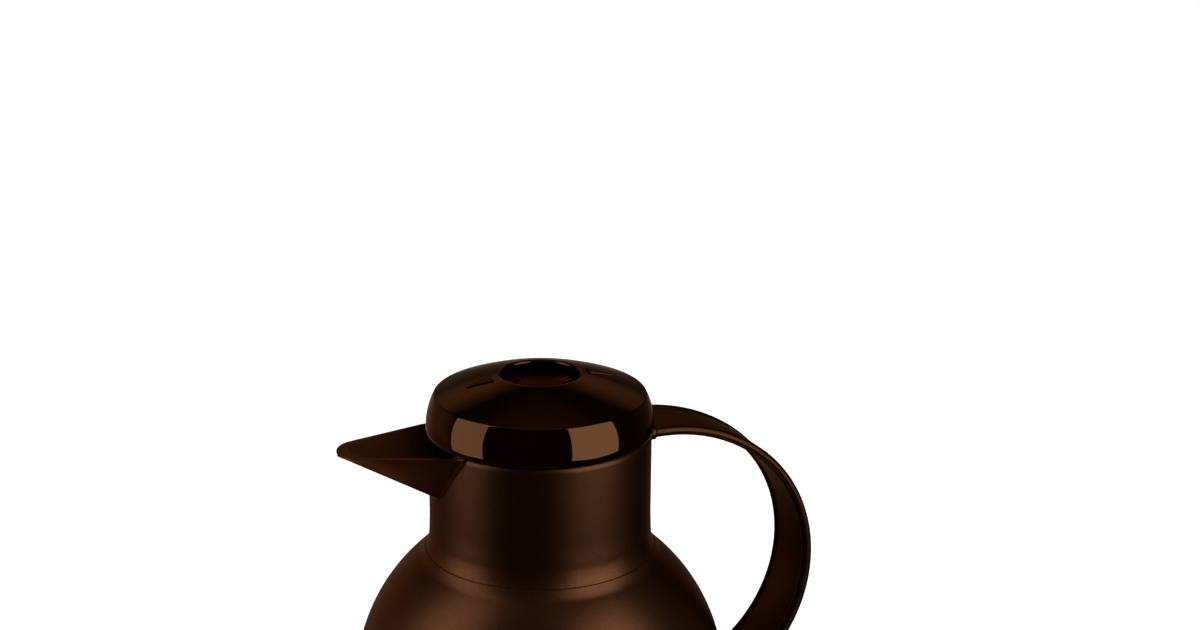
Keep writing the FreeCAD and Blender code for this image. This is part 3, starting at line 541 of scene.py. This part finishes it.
def lid_profile(closure):
    """Outline of the lid: swelling side, rounded shoulder, low dome, finger well and the hollow inside."""
    wall, swell_height, well_wall, seat_gap = 2.2, 1.2, 1.8, 0.15
    edge_round, shoulder_round, well_round, fine = 0.35, 0.9, 1.1, 0.2
    low, top, lid_radius = level("lid_cap", 0), level("lid_cap", 1), closure.lid_radius / MM
    well, plate = closure.well_radius / MM, level("return_spring", 0) - seat_gap
    well_out = well + well_wall
    centre, radius, shoulder, edge = lid_dome(closure)
    swell = (lid_radius + closure.lid_bulge / MM, low + swell_height)
    first, last = (math.degrees(math.atan2(*(point - centre)[::-1])) for point in (shoulder, edge))
    trim = math.degrees(1.0 / radius)
    skirt = bow((lid_radius, low), (0.35, 1), swell, 8)[1:]
    side = bow(swell, (0, 1), shoulder, 24)[1:]
    dome = arc(centre, radius, first + trim, last, 44)
    inner = arc(centre, radius - wall, first + 2 * trim, last - 0.3, 30)[::-1]
    inner = inner[inner[:, 0] > well + 2.0]
    inner_side = side[-5::-1] - [wall, 0]
    return outline((lid_radius, low, edge_round), skirt, side[:-1], (*side[-1], shoulder_round), dome,
                   (well, top, well_round), (well, plate, fine), (well_out, plate, fine),
                   (well_out, inner[0, 1], 0.4), inner, inner_side, (lid_radius - wall, low, 0.3), steps=7)


def mark_points(closure, direction_deg):
    """Grid of an arrow mark: a radial triangle with rounded corners laid on the dome and raised a little.

    Rings shrink from the triangle's edge to its middle; the first lies below the dome, which closes it."""
    tip, back, half_width, corner_round, corner_steps, side_steps = 31.6, 20.0, 3.7, 0.35, 9, 12
    centre, radius, _, _ = lid_dome(closure)
    corners = np.array([[tip, 0.0], [back, half_width], [back, -half_width]])
    rounds = [rounded_corner(*np.roll(corners, 1 - n, axis=0), corner_round, corner_steps) for n in range(3)]
    sides = [np.linspace(rounds[n - 1][-1], rounds[n][0], side_steps, endpoint=False)[1:] for n in (1, 2, 0)]
    loop = np.concatenate([line for pair in zip(rounds, sides) for line in pair])
    middle = corners.mean(axis=0)
    shares = np.array([1.0, 1.0, 0.985, 0.955, 0.9, 0.8, 0.6, 0.4, 0.2, 0.0])
    rises = np.array([-0.6, 0.45, 0.85, 1.0, 1.0, 1.0, 1.0, 1.0, 1.0, 1.0]) * (closure.mark_height / MM)
    place = middle + shares[:, None, None] * (loop - middle)
    out = np.linalg.norm(place, axis=-1)
    top = centre[1] + np.sqrt(radius**2 - (out - centre[0]) ** 2) + rises[:, None]
    angle = math.radians(direction_deg)
    turn = np.array([[math.cos(angle), math.sin(angle)], [-math.sin(angle), math.cos(angle)]])
    base = np.broadcast_to([*(middle @ turn), top[0].mean()], (1, len(loop), 3))
    return np.concatenate([base, np.concatenate([place @ turn, top[..., None]], axis=-1)])


def button_points(closure):
    """Grid of the button: a dished face with radial ribs, a rounded rim, a skirt and the hollow underneath.

    A rib lifts the face where the cosine of rib count times angle is near one, between two radii."""
    set_down, gap, dish, bevel, thickness, skirt, wall = 4.2, 0.3, 1.4, 1.0, 3.4, 8.0, 2.0
    boss, lip, boss_bore, socket, socket_bore, socket_depth = 7.05, 7.9, 5.9, 4.3, 3.1, 4.0
    rib_start, rib_end, rib_slope, rib_steps = 9.2, 13.7, (0.8, 0.7), 12
    top, low = level("lid_cap", 1) - set_down, level("push_button", 0)
    under, bottom, socket_low = top - thickness, top - skirt, top - thickness - socket_depth
    radius = closure.well_radius / MM - gap
    inner = radius - wall
    centre, edge = (0.0, top - dish), (radius - bevel, top)
    face = bow(centre, (1, 0), edge, 34)[:-1]
    rest = outline(centre, (*edge, 0.5), (radius, top - bevel, 0.5), (radius, bottom, 0.3),
                   (inner, bottom, 0.3), (inner, under, 0.6), (11.4, under), (boss, under, 0.3),
                   (boss, low + 1.0, 0.1), (lip, low + 0.9, 0.1), (lip, low, 0.2), (boss_bore, low, 0.2),
                   (boss_bore, under, 0.3), (socket, under, 0.3), (socket, socket_low, 0.2),
                   (socket_bore, socket_low, 0.2), (socket_bore, under), (0.0, under), steps=4)
    steps = rib_steps * closure.rib_count
    grid = turned_points(np.concatenate([face, rest[1:]]), steps)
    angle = np.linspace(0, TURN, steps, endpoint=False)[:, None]
    ridge = smooth_step(0.45, 0.9, np.cos(closure.rib_count * angle))
    band = smooth_step(rib_start, rib_start + rib_slope[0], face[:, 0])
    band = band * (1 - smooth_step(rib_end, rib_end + rib_slope[1], face[:, 0]))
    grid[:, : len(face), 2] += closure.rib_height / MM * ridge * band
    return grid


def spring_points(closure):
    """Grid of the return spring: a circle carried along a helix whose first and last turn close up flat."""
    coil_radius, flat, climb_share = 5.1, 0.14, 0.95
    wire = closure.spring_wire / MM / 2
    low, high = level("return_spring", 0) + wire, level("return_spring", 1) - wire
    share = np.linspace(0, 1, 420)
    climb = np.clip((share - flat) / (1 - 2 * flat), 0, 1)
    closed = (np.minimum(share, flat) + np.maximum(share - 1 + flat, 0)) / flat
    height = low + climb_share * wire * closed + (high - low - 2 * climb_share * wire) * climb
    angle = TURN * closure.spring_turns * share
    outward = np.column_stack([np.cos(angle), np.sin(angle), 0 * angle])
    centre = coil_radius * outward + np.column_stack([0 * angle, 0 * angle, height])
    upward = np.cross(unit(np.gradient(centre, axis=0)), outward)
    around = np.linspace(0, TURN, 14, endpoint=False)[:, None]
    circle = np.cos(around) * outward[:, None] + np.sin(around) * upward[:, None]
    return capped(centre[:, None] + wire * circle)


def flask_profile(shrink, neck, top, *lip):
    """Outline of one glass wall of the flask: flat floor, two tangent arcs and a neck, at one thickness.

    The lip is the corners between the outside of the neck and its upper end."""
    glass, waist_height, set_in = 1.6, 64.0, 3.0
    bottom = level("flask_jacket", 0) + FLASK_TIP
    radius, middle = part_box("flask_jacket")[1].y / MM, level("ball_body", 0) + waist_height
    floor = radius - (middle - bottom)

    def side(inset, neck_radius):
        waist = (radius - inset, middle)
        foot = (neck_radius, middle + rise(radius - set_in - inset, neck_radius - set_in))
        belly = bow((floor, bottom + inset), (1, 0), waist, 50)
        return np.concatenate([belly, bow(waist, (0, 1), foot, 46)[1:]])

    outside, inside = side(shrink, neck), side(shrink + glass, neck - glass)[::-1]
    return outline((0.0, bottom + shrink), outside, *lip, (neck - glass, top, 0.7), inside,
                   (0.0, bottom + shrink + glass))


def feed(tree, value, socket):
    """Puts a number into a socket, or links another socket to it."""
    if isinstance(value, (int, float)):
        socket.default_value = value
    else:
        tree.links.new(value, socket)


def surface_group(name, wire, **numbers):
    """Node group of a surface, made once: vector, colour and numbers in; colour, roughness and height out."""
    if name in bpy.data.node_groups:
        return bpy.data.node_groups[name]
    group = bpy.data.node_groups.new(name, "ShaderNodeTree")
    sockets = [("Vector", "NodeSocketVector", (0, 0, 0)), ("Colour", "NodeSocketColor", (1, 1, 1, 1))]
    for label, number in numbers.items():
        sockets.append((label.replace("_", " "), "NodeSocketFloat", number))
    for label, kind, default in sockets:
        group.interface.new_socket(label, in_out="INPUT", socket_type=kind).default_value = default
    for label, kind in (("Colour", "Color"), ("Roughness", "Float"), ("Height", "Float")):
        group.interface.new_socket(label, in_out="OUTPUT", socket_type="NodeSocket" + kind)
    wire(group, group.nodes.new("NodeGroupInput").outputs, group.nodes.new("NodeGroupOutput").inputs)
    return group


def noise_node(tree, vector, scale, detail):
    """Noise texture on a vector, with its scale from a socket or a number."""
    node = tree.nodes.new("ShaderNodeTexNoise")
    node.inputs["Detail"].default_value = detail
    feed(tree, vector, node.inputs["Vector"])
    feed(tree, scale, node.inputs["Scale"])
    return node.outputs["Fac"]


def math_node(tree, operation, *values):
    """Math node on sockets or numbers."""
    node = tree.nodes.new("ShaderNodeMath")
    node.operation = operation
    for socket, value in zip(node.inputs, values):
        feed(tree, value, socket)
    return node.outputs[0]


def spread(tree, value, low, high, to_low, to_high):
    """Map range from one span to another."""
    node = tree.nodes.new("ShaderNodeMapRange")
    spans = {"Value": value, "From Min": low, "From Max": high, "To Min": to_low, "To Max": to_high}
    for label, number in spans.items():
        feed(tree, number, node.inputs[label])
    return node.outputs["Result"]


def about_zero(tree, value, size):
    """A value from 0 to 1 as one that swings about zero by half of a size."""
    return math_node(tree, "MULTIPLY", math_node(tree, "SUBTRACT", value, 0.5), size)


def scaled(tree, vector, gain):
    """Colour or vector socket times a number socket."""
    node = tree.nodes.new("ShaderNodeVectorMath")
    node.operation = "SCALE"
    feed(tree, vector, node.inputs[0])
    feed(tree, gain, node.inputs["Scale"])
    return node.outputs[0]


def wire_grain(group, start, end):
    """Fine moulded grain: fast noise for the height, slow noise for the tint and the roughness."""
    fine = noise_node(group, start["Vector"], start["Grain scale"], detail=3.0)
    slow = noise_node(group, start["Vector"], scale=38.0, detail=4.0)
    both = math_node(group, "MULTIPLY_ADD", fine, 0.5, math_node(group, "MULTIPLY", slow, 0.5))
    swing = about_zero(group, both, size=2.0)
    gain = math_node(group, "MULTIPLY_ADD", swing, start["Tint"], 1.0)
    feed(group, scaled(group, start["Colour"], gain), end["Colour"])
    rough = math_node(group, "MULTIPLY_ADD", swing, start["Roughness spread"], start["Roughness"])
    feed(group, rough, end["Roughness"])
    feed(group, fine, end["Height"])


def wire_flake(group, start, end):
    """Metal flake in lacquer: tiny cells of random brightness over a slow cloudiness."""
    cells = group.nodes.new("ShaderNodeTexVoronoi")
    feed(group, start["Vector"], cells.inputs["Vector"])
    feed(group, start["Flake scale"], cells.inputs["Scale"])
    cell = group.nodes.new("ShaderNodeSeparateColor")
    feed(group, cells.outputs["Color"], cell.inputs["Color"])
    swing = about_zero(group, cell.outputs[0], size=2.0)
    cloud = noise_node(group, start["Vector"], scale=26.0, detail=3.0)
    drift = about_zero(group, cloud, size=0.16)
    gain = math_node(group, "MULTIPLY_ADD", swing, start["Sparkle"], math_node(group, "ADD", drift, 1.0))
    feed(group, scaled(group, start["Colour"], gain), end["Colour"])
    feed(group, math_node(group, "MULTIPLY_ADD", drift, 0.25, start["Roughness"]), end["Roughness"])
    feed(group, cell.outputs[1], end["Height"])


def grain_group():
    """Surface group of moulded grain."""
    return surface_group("Moulded grain", wire_grain, Grain_scale=2500.0, Tint=0.1, Roughness=0.4,
                         Roughness_spread=0.05)


def flake_group():
    """Surface group of metal flake."""
    return surface_group("Lacquer flake", wire_flake, Flake_scale=5200.0, Sparkle=0.3, Roughness=0.38)


def grain(scale, tint, roughness, roughness_spread):
    """Moulded grain and its values."""
    return grain_group, {"Grain scale": scale, "Tint": tint, "Roughness": roughness,
                         "Roughness spread": roughness_spread}


def flake(sparkle, roughness):
    """Metal flake and its values."""
    return flake_group, {"Sparkle": sparkle, "Roughness": roughness}


def metal(red, green, blue):
    """Shader values of a metallic lacquer, with its tint at grazing angles."""
    return {"Metallic": 1.0, "Specular Tint": (red, green, blue, 1)}


# Each finish: its colour in the sidebar, its surface, the strength and depth of its relief, and shader values
FINISHES = {
    "satin_lacquer": ("satin", flake(0.22, 0.36), (0.05, 0.00005), metal(0.68, 0.54, 0.49)),
    "handle_lacquer": ("handle", flake(0.22, 0.36), (0.05, 0.00005), metal(0.6, 0.5, 0.47)),
    "gloss_lacquer": ("gloss", grain(900.0, 0.06, 0.045, 0.015), (0.01, 0.00002), metal(0.62, 0.55, 0.52)),
    "button_satin": ("button", grain(3200.0, 0.15, 0.34, 0.08), (0.12, 0.00006), metal(0.6, 0.5, 0.47)),
    "channel_moulding": ("channel", grain(2600.0, 0.1, 0.42, 0.06), (0.1, 0.00006),
                         {"Specular IOR Level": 0.0}),
    "dark_moulding": ("dark", grain(2600.0, 0.2, 0.46, 0.1), (0.2, 0.00008), {}),
    "pale_moulding": ("pale", grain(1800.0, 0.05, 0.38, 0.06), (0.1, 0.00006),
                      {"Subsurface Weight": 0.15, "Subsurface Scale": 0.002}),
    "silvered_glass": ("silver", grain(120.0, 0.04, 0.06, 0.03), (0.02, 0.0001),
                       {"Metallic": 1.0, "Coat Weight": 0.6, "Coat Roughness": 0.02}),
    "soft_silicone": ("silicone", grain(1400.0, 0.06, 0.5, 0.08), (0.12, 0.00008),
                      {"Subsurface Weight": 0.2, "Subsurface Scale": 0.002}),
    "foot_rubber": ("rubber", grain(2000.0, 0.25, 0.72, 0.1), (0.3, 0.0001), {}),
    "spring_steel": ("steel", grain(4000.0, 0.1, 0.28, 0.08), (0.1, 0.00004), {"Metallic": 1.0}),
}


def finish(name):
    """Material of a finish: its group's colour, roughness and height over fixed shader values."""
    if name in bpy.data.materials:
        return bpy.data.materials[name]
    colour_name, (group, values), (bump, bump_depth), fixed = FINISHES[name]
    tint = (*getattr(bpy.context.scene.jug_finish, colour_name), 1)
    material = bpy.data.materials.new(name)
    material.use_nodes = True
    material.diffuse_color = tint
    tree = material.node_tree
    shader = tree.nodes["Principled BSDF"]
    surface = tree.nodes.new("ShaderNodeGroup")
    surface.node_tree = group()
    surface.inputs["Colour"].default_value = tint
    for label, value in values.items():
        surface.inputs[label].default_value = value
    relief = tree.nodes.new("ShaderNodeBump")
    relief.inputs["Strength"].default_value = bump
    relief.inputs["Distance"].default_value = bump_depth
    feed(tree, tree.nodes.new("ShaderNodeTexCoord").outputs["Object"], surface.inputs["Vector"])
    feed(tree, surface.outputs["Colour"], shader.inputs["Base Color"])
    feed(tree, surface.outputs["Roughness"], shader.inputs["Roughness"])
    feed(tree, surface.outputs["Height"], relief.inputs["Height"])
    feed(tree, relief.outputs["Normal"], shader.inputs["Normal"])
    for label, value in fixed.items():
        shader.inputs[label].default_value = value
    return material


class JUG_OT_ball(bpy.types.Operator):
    """Make the ball's shell and the soft ring that it stands on"""
    bl_idname = "jug.ball"
    bl_label = "Ball and foot"

    def execute(self, context):
        ball = turned("ball_shell", ball_profile(context.scene.jug_body), 256)
        dress(ball, "jug", "satin_brown", "satin_lacquer", "ball_body")
        width, groove = 7.0, 0.45
        outer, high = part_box("foot_ring")[1].x / MM, level("foot_ring", 1)
        ring = outline((outer - width, 0.0, 0.45), (outer - 4.6, 0.0, 0.3), (outer - 4.2, groove, 0.2),
                       (outer - 2.8, groove, 0.2), (outer - 2.4, 0.0, 0.3), (outer, 0.0, 0.45),
                       (outer, high, 0.2), (outer - width, high, 0.2))
        dress(turned("foot_soft_ring", ring, 160), "jug", "foot_rubber", "foot_rubber", "foot_ring")
        return {"FINISHED"}


class JUG_OT_collar(bpy.types.Operator):
    """Make the collar with its beak spout, pouring channel and mouth"""
    bl_idname = "jug.collar"
    bl_label = "Collar and spout"

    def execute(self, context):
        collar = lattice("collar_spout", collar_points(context.scene.jug_body), sharp_deg=40)
        dress(collar, "jug", "satin_brown", "satin_lacquer", "collar")
        line_inside(collar, "channel_moulding")
        collar.visible_glossy = False   # the lid and the ball mirror the room, and the spout stays out of it
        return {"FINISHED"}


class JUG_OT_handle(bpy.types.Operator):
    """Make the ribbon handle"""
    bl_idname = "jug.handle"
    bl_label = "Handle"

    def execute(self, context):
        grid = handle_points(context.scene.jug_body)
        handle = lattice("handle_ribbon", grid, wrap_along=False, sharp_deg=30)
        dress(handle, "jug", "satin_brown", "handle_lacquer", "handle")
        return {"FINISHED"}


class JUG_OT_lid(bpy.types.Operator):
    """Make the lid's shell and its two arrow marks"""
    bl_idname = "jug.lid"
    bl_label = "Lid"

    def execute(self, context):
        closure = context.scene.jug_closure
        lid = turned("lid_shell", lid_profile(closure), 256, sharp_deg=50)
        dress(lid, "closure", "gloss_brown", "gloss_lacquer", "lid_cap")
        for name, direction_deg in (("arrow_to_spout", 174.0), ("arrow_to_handle", -6.0)):
            mark = lattice(name, mark_points(closure, direction_deg), wrap_along=False)
            dress(mark, "closure", "button_brown", "button_satin")
        return {"FINISHED"}


class JUG_OT_button(bpy.types.Operator):
    """Make the dished button with its ribs"""
    bl_idname = "jug.button"
    bl_label = "Button"

    def execute(self, context):
        button = lattice("button_cap", button_points(context.scene.jug_closure), wrap_across=False)
        dress(button, "valve_train", "button_brown", "button_satin", "push_button")
        return {"FINISHED"}


class JUG_OT_spring(bpy.types.Operator):
    """Make the return spring at the length of the imported one; the real spring flattens as the button goes
    down
    """
    bl_idname = "jug.spring"
    bl_label = "Return spring"

    def execute(self, context):
        spring = lattice("spring_coil", spring_points(context.scene.jug_closure), wrap_along=False)
        dress(spring, "closure", "spring_steel", "spring_steel", "return_spring")
        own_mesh(spring)
        return {"FINISHED"}


class JUG_OT_flask(bpy.types.Operator):
    """Make the two glass walls of the flask, its lip seal and its cushion"""
    bl_idname = "jug.flask"
    bl_label = "Vacuum flask"

    def execute(self, context):
        neck, inner_neck, inner_shrink = 27.0, 22.6, 6.0
        lip_low, lip_top = level("flask_jacket", 1), level("flask_bulb", 1)
        jacket = flask_profile(0.0, neck, lip_low, (neck, lip_low, 0.7))
        bulb = flask_profile(inner_shrink, inner_neck, lip_top, (inner_neck, lip_low, 0.5),
                             (neck, lip_low, 0.2), (neck, lip_top, 0.9))
        for name, profile, node in (("flask_outer_wall", jacket, "flask_jacket"),
                                    ("flask_inner_wall", bulb, "flask_bulb")):
            glass = turned(name, profile, 160, wrap_across=False)
            dress(glass, "jug", "silvered_glass", "silvered_glass", node)

        bore, skirt_bore, skirt_out = 22.6, neck + FIT, 28.7
        low, high = levels("flask_seal")
        groove = high - 0.35
        seal = outline((bore, lip_top, 0.3), (skirt_bore, lip_top), (skirt_bore, low, 0.2),
                       (skirt_out, low, 0.5), (skirt_out, high, 0.7), (25.2, high, 0.2),
                       (25.0, groove, 0.2), (24.4, groove, 0.2), (24.2, high, 0.2), (bore, high, 0.5))
        dress(turned("flask_lip_seal", seal, 128), "jug", "silicone", "soft_silicone", "flask_seal")

        cup_bore, cup_out = 6.0, 25.0
        base, top = levels("flask_cushion")
        seat = level("flask_jacket", 0) + FLASK_TIP - FIT
        hollow = bow((24.4, top - 0.28), (-1, -0.25), (13.0, seat), 14)
        cup = outline((cup_bore, base, 0.3), (cup_out, base, 0.6), (cup_out, top, 0.4), hollow,
                      (cup_bore, seat, 0.4))
        dress(turned("flask_cup", cup, 128), "jug", "foot_rubber", "foot_rubber", "flask_cushion")
        return {"FINISHED"}


class JUG_OT_valve(bpy.types.Operator):
    """Make the stem, the valve plate and the soft rings of the closure"""
    bl_idname = "jug.valve"
    bl_label = "Valve and seals"

    def execute(self, context):
        rod, tail_rod, plate_bore, gasket_bore, plate_out = 3.0, 2.2, 2.3, 15.4, 18.4
        tail, top = levels("valve_stem")
        under, seat = levels("valve_plate")
        stem = outline((0.0, top), (rod, top, 0.3), (rod, seat, 0.1), (tail_rod, seat), (tail_rod, tail, 0.4),
                       (0.0, tail))
        dress(turned("stem_rod", stem, 64, wrap_across=False), "valve_train", "pale_plastic", "pale_moulding",
              "valve_stem")

        recess = under + 0.7
        plate = outline((plate_bore, seat, 0.2), (gasket_bore - 0.2, seat, 0.1), (gasket_bore, seat, 0.1),
                        (plate_out, seat, 0.3), (plate_out, under, 0.8), (12.0, under, 0.5),
                        (11.0, recess, 0.5), (6.2, recess, 0.5), (5.4, under, 0.4), (plate_bore, under, 0.2))
        dress(turned("valve_disc", plate, 128), "valve_train", "pale_plastic", "pale_moulding", "valve_plate")

        low, high = levels("valve_seal")
        gasket = outline((gasket_bore, low, 0.1), (plate_out, low, 0.1), (plate_out, high, 0.3),
                         (gasket_bore, high, 0.3))
        dress(turned("valve_gasket", gasket, 128), "valve_train", "silicone", "soft_silicone", "valve_seal")

        low, high = levels("sealing_ring")
        out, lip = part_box("sealing_ring")[1].x / MM, 0.5
        bore, waist = out - 1.6, out - lip
        lips = outline((bore, low, 0.3), (waist, low, 0.2), (out, low + lip, 0.25),
                       (waist, (low + high) / 2, 0.25), (out, high - lip, 0.25), (waist, high, 0.2),
                       (bore, high, 0.3))
        dress(turned("stopper_lip_ring", lips, 160), "stopper_ring", "silicone", "soft_silicone",
              "sealing_ring")

        low, high = levels("stem_seal")
        bore, out, ledge = 3.08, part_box("stem_seal")[1].x / MM, low + 0.3
        wiper = outline((bore, low, 0.1), (bore + 0.5, low, 0.2), (bore + 0.8, ledge, 0.2), (out, ledge, 0.2),
                        (out, high, 0.15), (bore, high, 0.15))
        dress(turned("stem_lip_ring", wiper, 72), "closure", "silicone", "soft_silicone", "stem_seal")
        return {"FINISHED"}


class JUG_OT_frame_finish(bpy.types.Operator):
    """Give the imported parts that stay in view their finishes"""
    bl_idname = "jug.frame_finish"
    bl_label = "Finishes of the other parts"

    def execute(self, context):
        looks = {"stopper": "dark_moulding", "base_cap": "dark_moulding", "latch_sleeve": "dark_moulding",
                 "latch_rotor": "pale_moulding", "stem_clip": "spring_steel"}
        for node, look in looks.items():
            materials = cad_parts[node].data.materials
            materials.clear()
            materials.append(finish(look))
        return {"FINISHED"}


def studio_world(stage):
    """White to the camera and through glass; reflections see warm walls behind the jug in a dark room."""
    room, warm_green, warm_blue = 0.05, 0.72, 0.52
    world = bpy.data.worlds.new("studio")
    world.use_nodes = True
    tree = world.node_tree
    light = tree.nodes["Background"].inputs
    path = tree.nodes.new("ShaderNodeLightPath").outputs
    axes = tree.nodes.new("ShaderNodeSeparateXYZ")
    feed(tree, tree.nodes.new("ShaderNodeTexCoord").outputs["Generated"], axes.inputs["Vector"])
    east_axis, north_axis, up = axes.outputs
    glossy = path["Is Glossy Ray"]

    def times(first, second):
        return math_node(tree, "MULTIPLY", first, second)

    def towards(east, north, edge, full, dark, bright):
        """From dark to bright as the direction turns to a heading, from an edge on to where it is full."""
        across = math_node(tree, "ADD", times(east_axis, east), times(north_axis, north))
        return spread(tree, across, edge, full, dark, bright)

    def upward(edge, full, first, last):
        """From a first to a last brightness as the direction rises or falls from an edge to a full slope."""
        return spread(tree, up, edge, full, first, last)

    horizon = times(upward(-0.34, -0.14, 0.0, 1.0), upward(0.15, 0.4, 1.0, 0.0))
    low_wall = times(towards(-0.15, 0.99, 0.0, 0.8, 0.0, 1.0),
                     times(upward(-0.25, -0.03, 0.17, 0.06), upward(0.45, 0.66, 1.0, 0.0)))
    high_wall = times(towards(0.31, 0.95, 0.7, 0.88, 0.0, 0.8), upward(0.24, 0.5, 0.0, 1.0))
    left_wall = times(towards(-0.42, 0.91, 0.8, 0.96, 0.0, 0.32), horizon)
    right_wall = times(towards(0.9, 0.43, 0.86, 0.97, 0.0, 0.07), horizon)
    below, above = upward(-0.84, -1.0, 0.0, 1.4), upward(0.75, 0.98, 0.0, 0.22)
    mirror = room
    for part in (low_wall, high_wall, left_wall, right_wall, below, above):
        mirror = math_node(tree, "ADD", part, mirror)
    seen = math_node(tree, "MAXIMUM", path["Is Camera Ray"], path["Is Transmission Ray"])
    matte = times(math_node(tree, "SUBTRACT", 1.0, glossy), stage.fill)
    unseen = math_node(tree, "ADD", matte, times(glossy, mirror))
    dim = times(unseen, math_node(tree, "SUBTRACT", 1.0, seen))
    tone = tree.nodes.new("ShaderNodeCombineColor")
    tone.inputs["Red"].default_value = 1.0
    for label, warm in (("Green", warm_green), ("Blue", warm_blue)):
        feed(tree, spread(tree, glossy, 0.0, 1.0, 1.0, warm), tone.inputs[label])
    feed(tree, tone.outputs["Color"], light["Color"])
    feed(tree, math_node(tree, "ADD", dim, seen), light["Strength"])
    bpy.context.scene.world = world


def floor_finish():
    """Pale floor, white to the camera but for the jug's shadow as a faint grey; clear from below."""
    grey, glow_strength = 0.68, 0.70
    material = bpy.data.materials.new("pale_floor")
    material.use_nodes = True
    tree = material.node_tree
    tree.nodes.remove(tree.nodes["Principled BSDF"])
    matte = tree.nodes.new("ShaderNodeBsdfDiffuse")
    matte.inputs["Color"].default_value = (grey, grey, grey, 1)
    glow = tree.nodes.new("ShaderNodeEmission")
    path = tree.nodes.new("ShaderNodeLightPath").outputs
    seen = math_node(tree, "MAXIMUM", path["Is Camera Ray"], path["Is Transmission Ray"])
    feed(tree, math_node(tree, "MULTIPLY", seen, glow_strength), glow.inputs["Strength"])
    both = tree.nodes.new("ShaderNodeAddShader")
    feed(tree, matte.outputs[0], both.inputs[0])
    feed(tree, glow.outputs[0], both.inputs[1])
    choice = tree.nodes.new("ShaderNodeMixShader")
    feed(tree, tree.nodes.new("ShaderNodeNewGeometry").outputs["Backfacing"], choice.inputs["Fac"])
    feed(tree, both.outputs[0], choice.inputs[1])
    feed(tree, tree.nodes.new("ShaderNodeBsdfTransparent").outputs[0], choice.inputs[2])
    feed(tree, choice.outputs[0], tree.nodes["Material Output"].inputs["Surface"])
    return material


def panel(name, azimuth_deg, distance, width, low, high, radiance):
    """Upright area lamp that faces the jug's axis, from a lower to an upper level."""
    lamp = bpy.data.lights.new(name, "AREA")
    lamp.shape = "RECTANGLE"
    lamp.size, lamp.size_y = width, high - low
    lamp.energy = radiance * math.pi * width * (high - low)
    angle = math.radians(azimuth_deg)
    outward = Vector((math.cos(angle), math.sin(angle), 0))
    turn = (-outward).to_track_quat("-Z", "Y").to_matrix().to_4x4()
    piece = bpy.data.objects.new(name, lamp)
    piece.matrix_world = Matrix.Translation(distance * outward + Vector((0, 0, (low + high) / 2))) @ turn
    bpy.context.scene.collection.objects.link(piece)
    return piece


def aim_camera(stage):
    """Camera of the photo: its place, the direction it looks in, and a slight roll about that direction."""
    place = Vector((-0.2731, -0.7258, 0.4690))
    forward = Vector((0.3640, 0.8831, -0.2962)).normalized()
    level_right = Vector((0.9246, -0.3811, 0)).normalized()
    roll = math.radians(0.48)
    lens = bpy.data.cameras.new("camera")
    lens.lens, lens.sensor_width, lens.sensor_fit = stage.lens, 36.0, "HORIZONTAL"
    lens.clip_start, lens.clip_end = 0.01, 200.0
    level_up = level_right.cross(forward)
    right = math.cos(roll) * level_right + math.sin(roll) * level_up
    up = math.cos(roll) * level_up - math.sin(roll) * level_right
    camera = bpy.data.objects.new("camera", lens)
    camera.matrix_world = Matrix.Translation(place) @ Matrix((right, up, -forward)).transposed().to_4x4()
    bpy.context.scene.collection.objects.link(camera)
    bpy.context.scene.camera = camera


class JUG_OT_stage(bpy.types.Operator):
    """Set up the floor, the studio light and the camera"""
    bl_idname = "jug.stage"
    bl_label = "Stage"

    def execute(self, context):
        stage = context.scene.jug_stage
        half = stage.floor_size / 2
        corners = [(-half, -half, 0), (half, -half, 0), (half, half, 0), (-half, half, 0)]
        mesh = bpy.data.meshes.new("floor")
        mesh.from_pydata(corners, [], [(0, 1, 2, 3)])
        mesh.materials.append(floor_finish())
        floor = bpy.data.objects.new("floor", mesh)
        floor.visible_glossy = False
        context.scene.collection.objects.link(floor)
        studio_world(stage)
        panel("left_panel", azimuth_deg=173.5, distance=1.0, width=0.70, low=-0.16, high=1.75,
              radiance=stage.left_light)
        panel("right_panel", azimuth_deg=-55.0, distance=1.0, width=0.94, low=-0.12, high=1.32,
              radiance=stage.right_light)
        for name, azimuth_deg in (("rear_left_panel", 112.0), ("rear_right_panel", 28.0)):
            rear = panel(name, azimuth_deg, distance=1.6, width=1.0, low=0.75, high=1.75,
                         radiance=stage.back_light)
            rear.visible_glossy = False
        aim_camera(stage)
        context.scene.view_settings.view_transform = "Standard"
        return {"FINISHED"}


class JUG_PT_sidebar(bpy.types.Panel):
    """Sizes, finishes and steps of the thermal jug"""
    bl_label = "Thermal jug"
    bl_idname = "JUG_PT_sidebar"
    bl_space_type = "VIEW_3D"
    bl_region_type = "UI"
    bl_category = "Jug"

    def draw(self, context):
        for group in GROUPS:
            box = self.layout.box()
            settings = getattr(context.scene, group)
            for name in settings.__annotations__:
                box.prop(settings, name)
        for step in STEPS:
            self.layout.operator(step.bl_idname)


GROUPS = {"jug_body": JUG_PG_body, "jug_closure": JUG_PG_closure, "jug_finish": JUG_PG_finish,
          "jug_stage": JUG_PG_stage}
STEPS = (JUG_OT_stage, JUG_OT_ball, JUG_OT_collar, JUG_OT_handle, JUG_OT_lid, JUG_OT_button, JUG_OT_spring,
         JUG_OT_flask, JUG_OT_valve, JUG_OT_frame_finish)


def register():
    for made in (*GROUPS.values(), *STEPS, JUG_PT_sidebar):
        bpy.utils.register_class(made)
    for name, group in GROUPS.items():
        setattr(bpy.types.Scene, name, PointerProperty(type=group))


def unregister():
    for name in GROUPS:
        delattr(bpy.types.Scene, name)
    for made in reversed((*GROUPS.values(), *STEPS, JUG_PT_sidebar)):
        bpy.utils.unregister_class(made)


def main():
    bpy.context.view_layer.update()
    register()
    for step in STEPS:
        group, name = step.bl_idname.split(".")
        getattr(getattr(bpy.ops, group), name)()


if __name__ == "__main__":
    main()
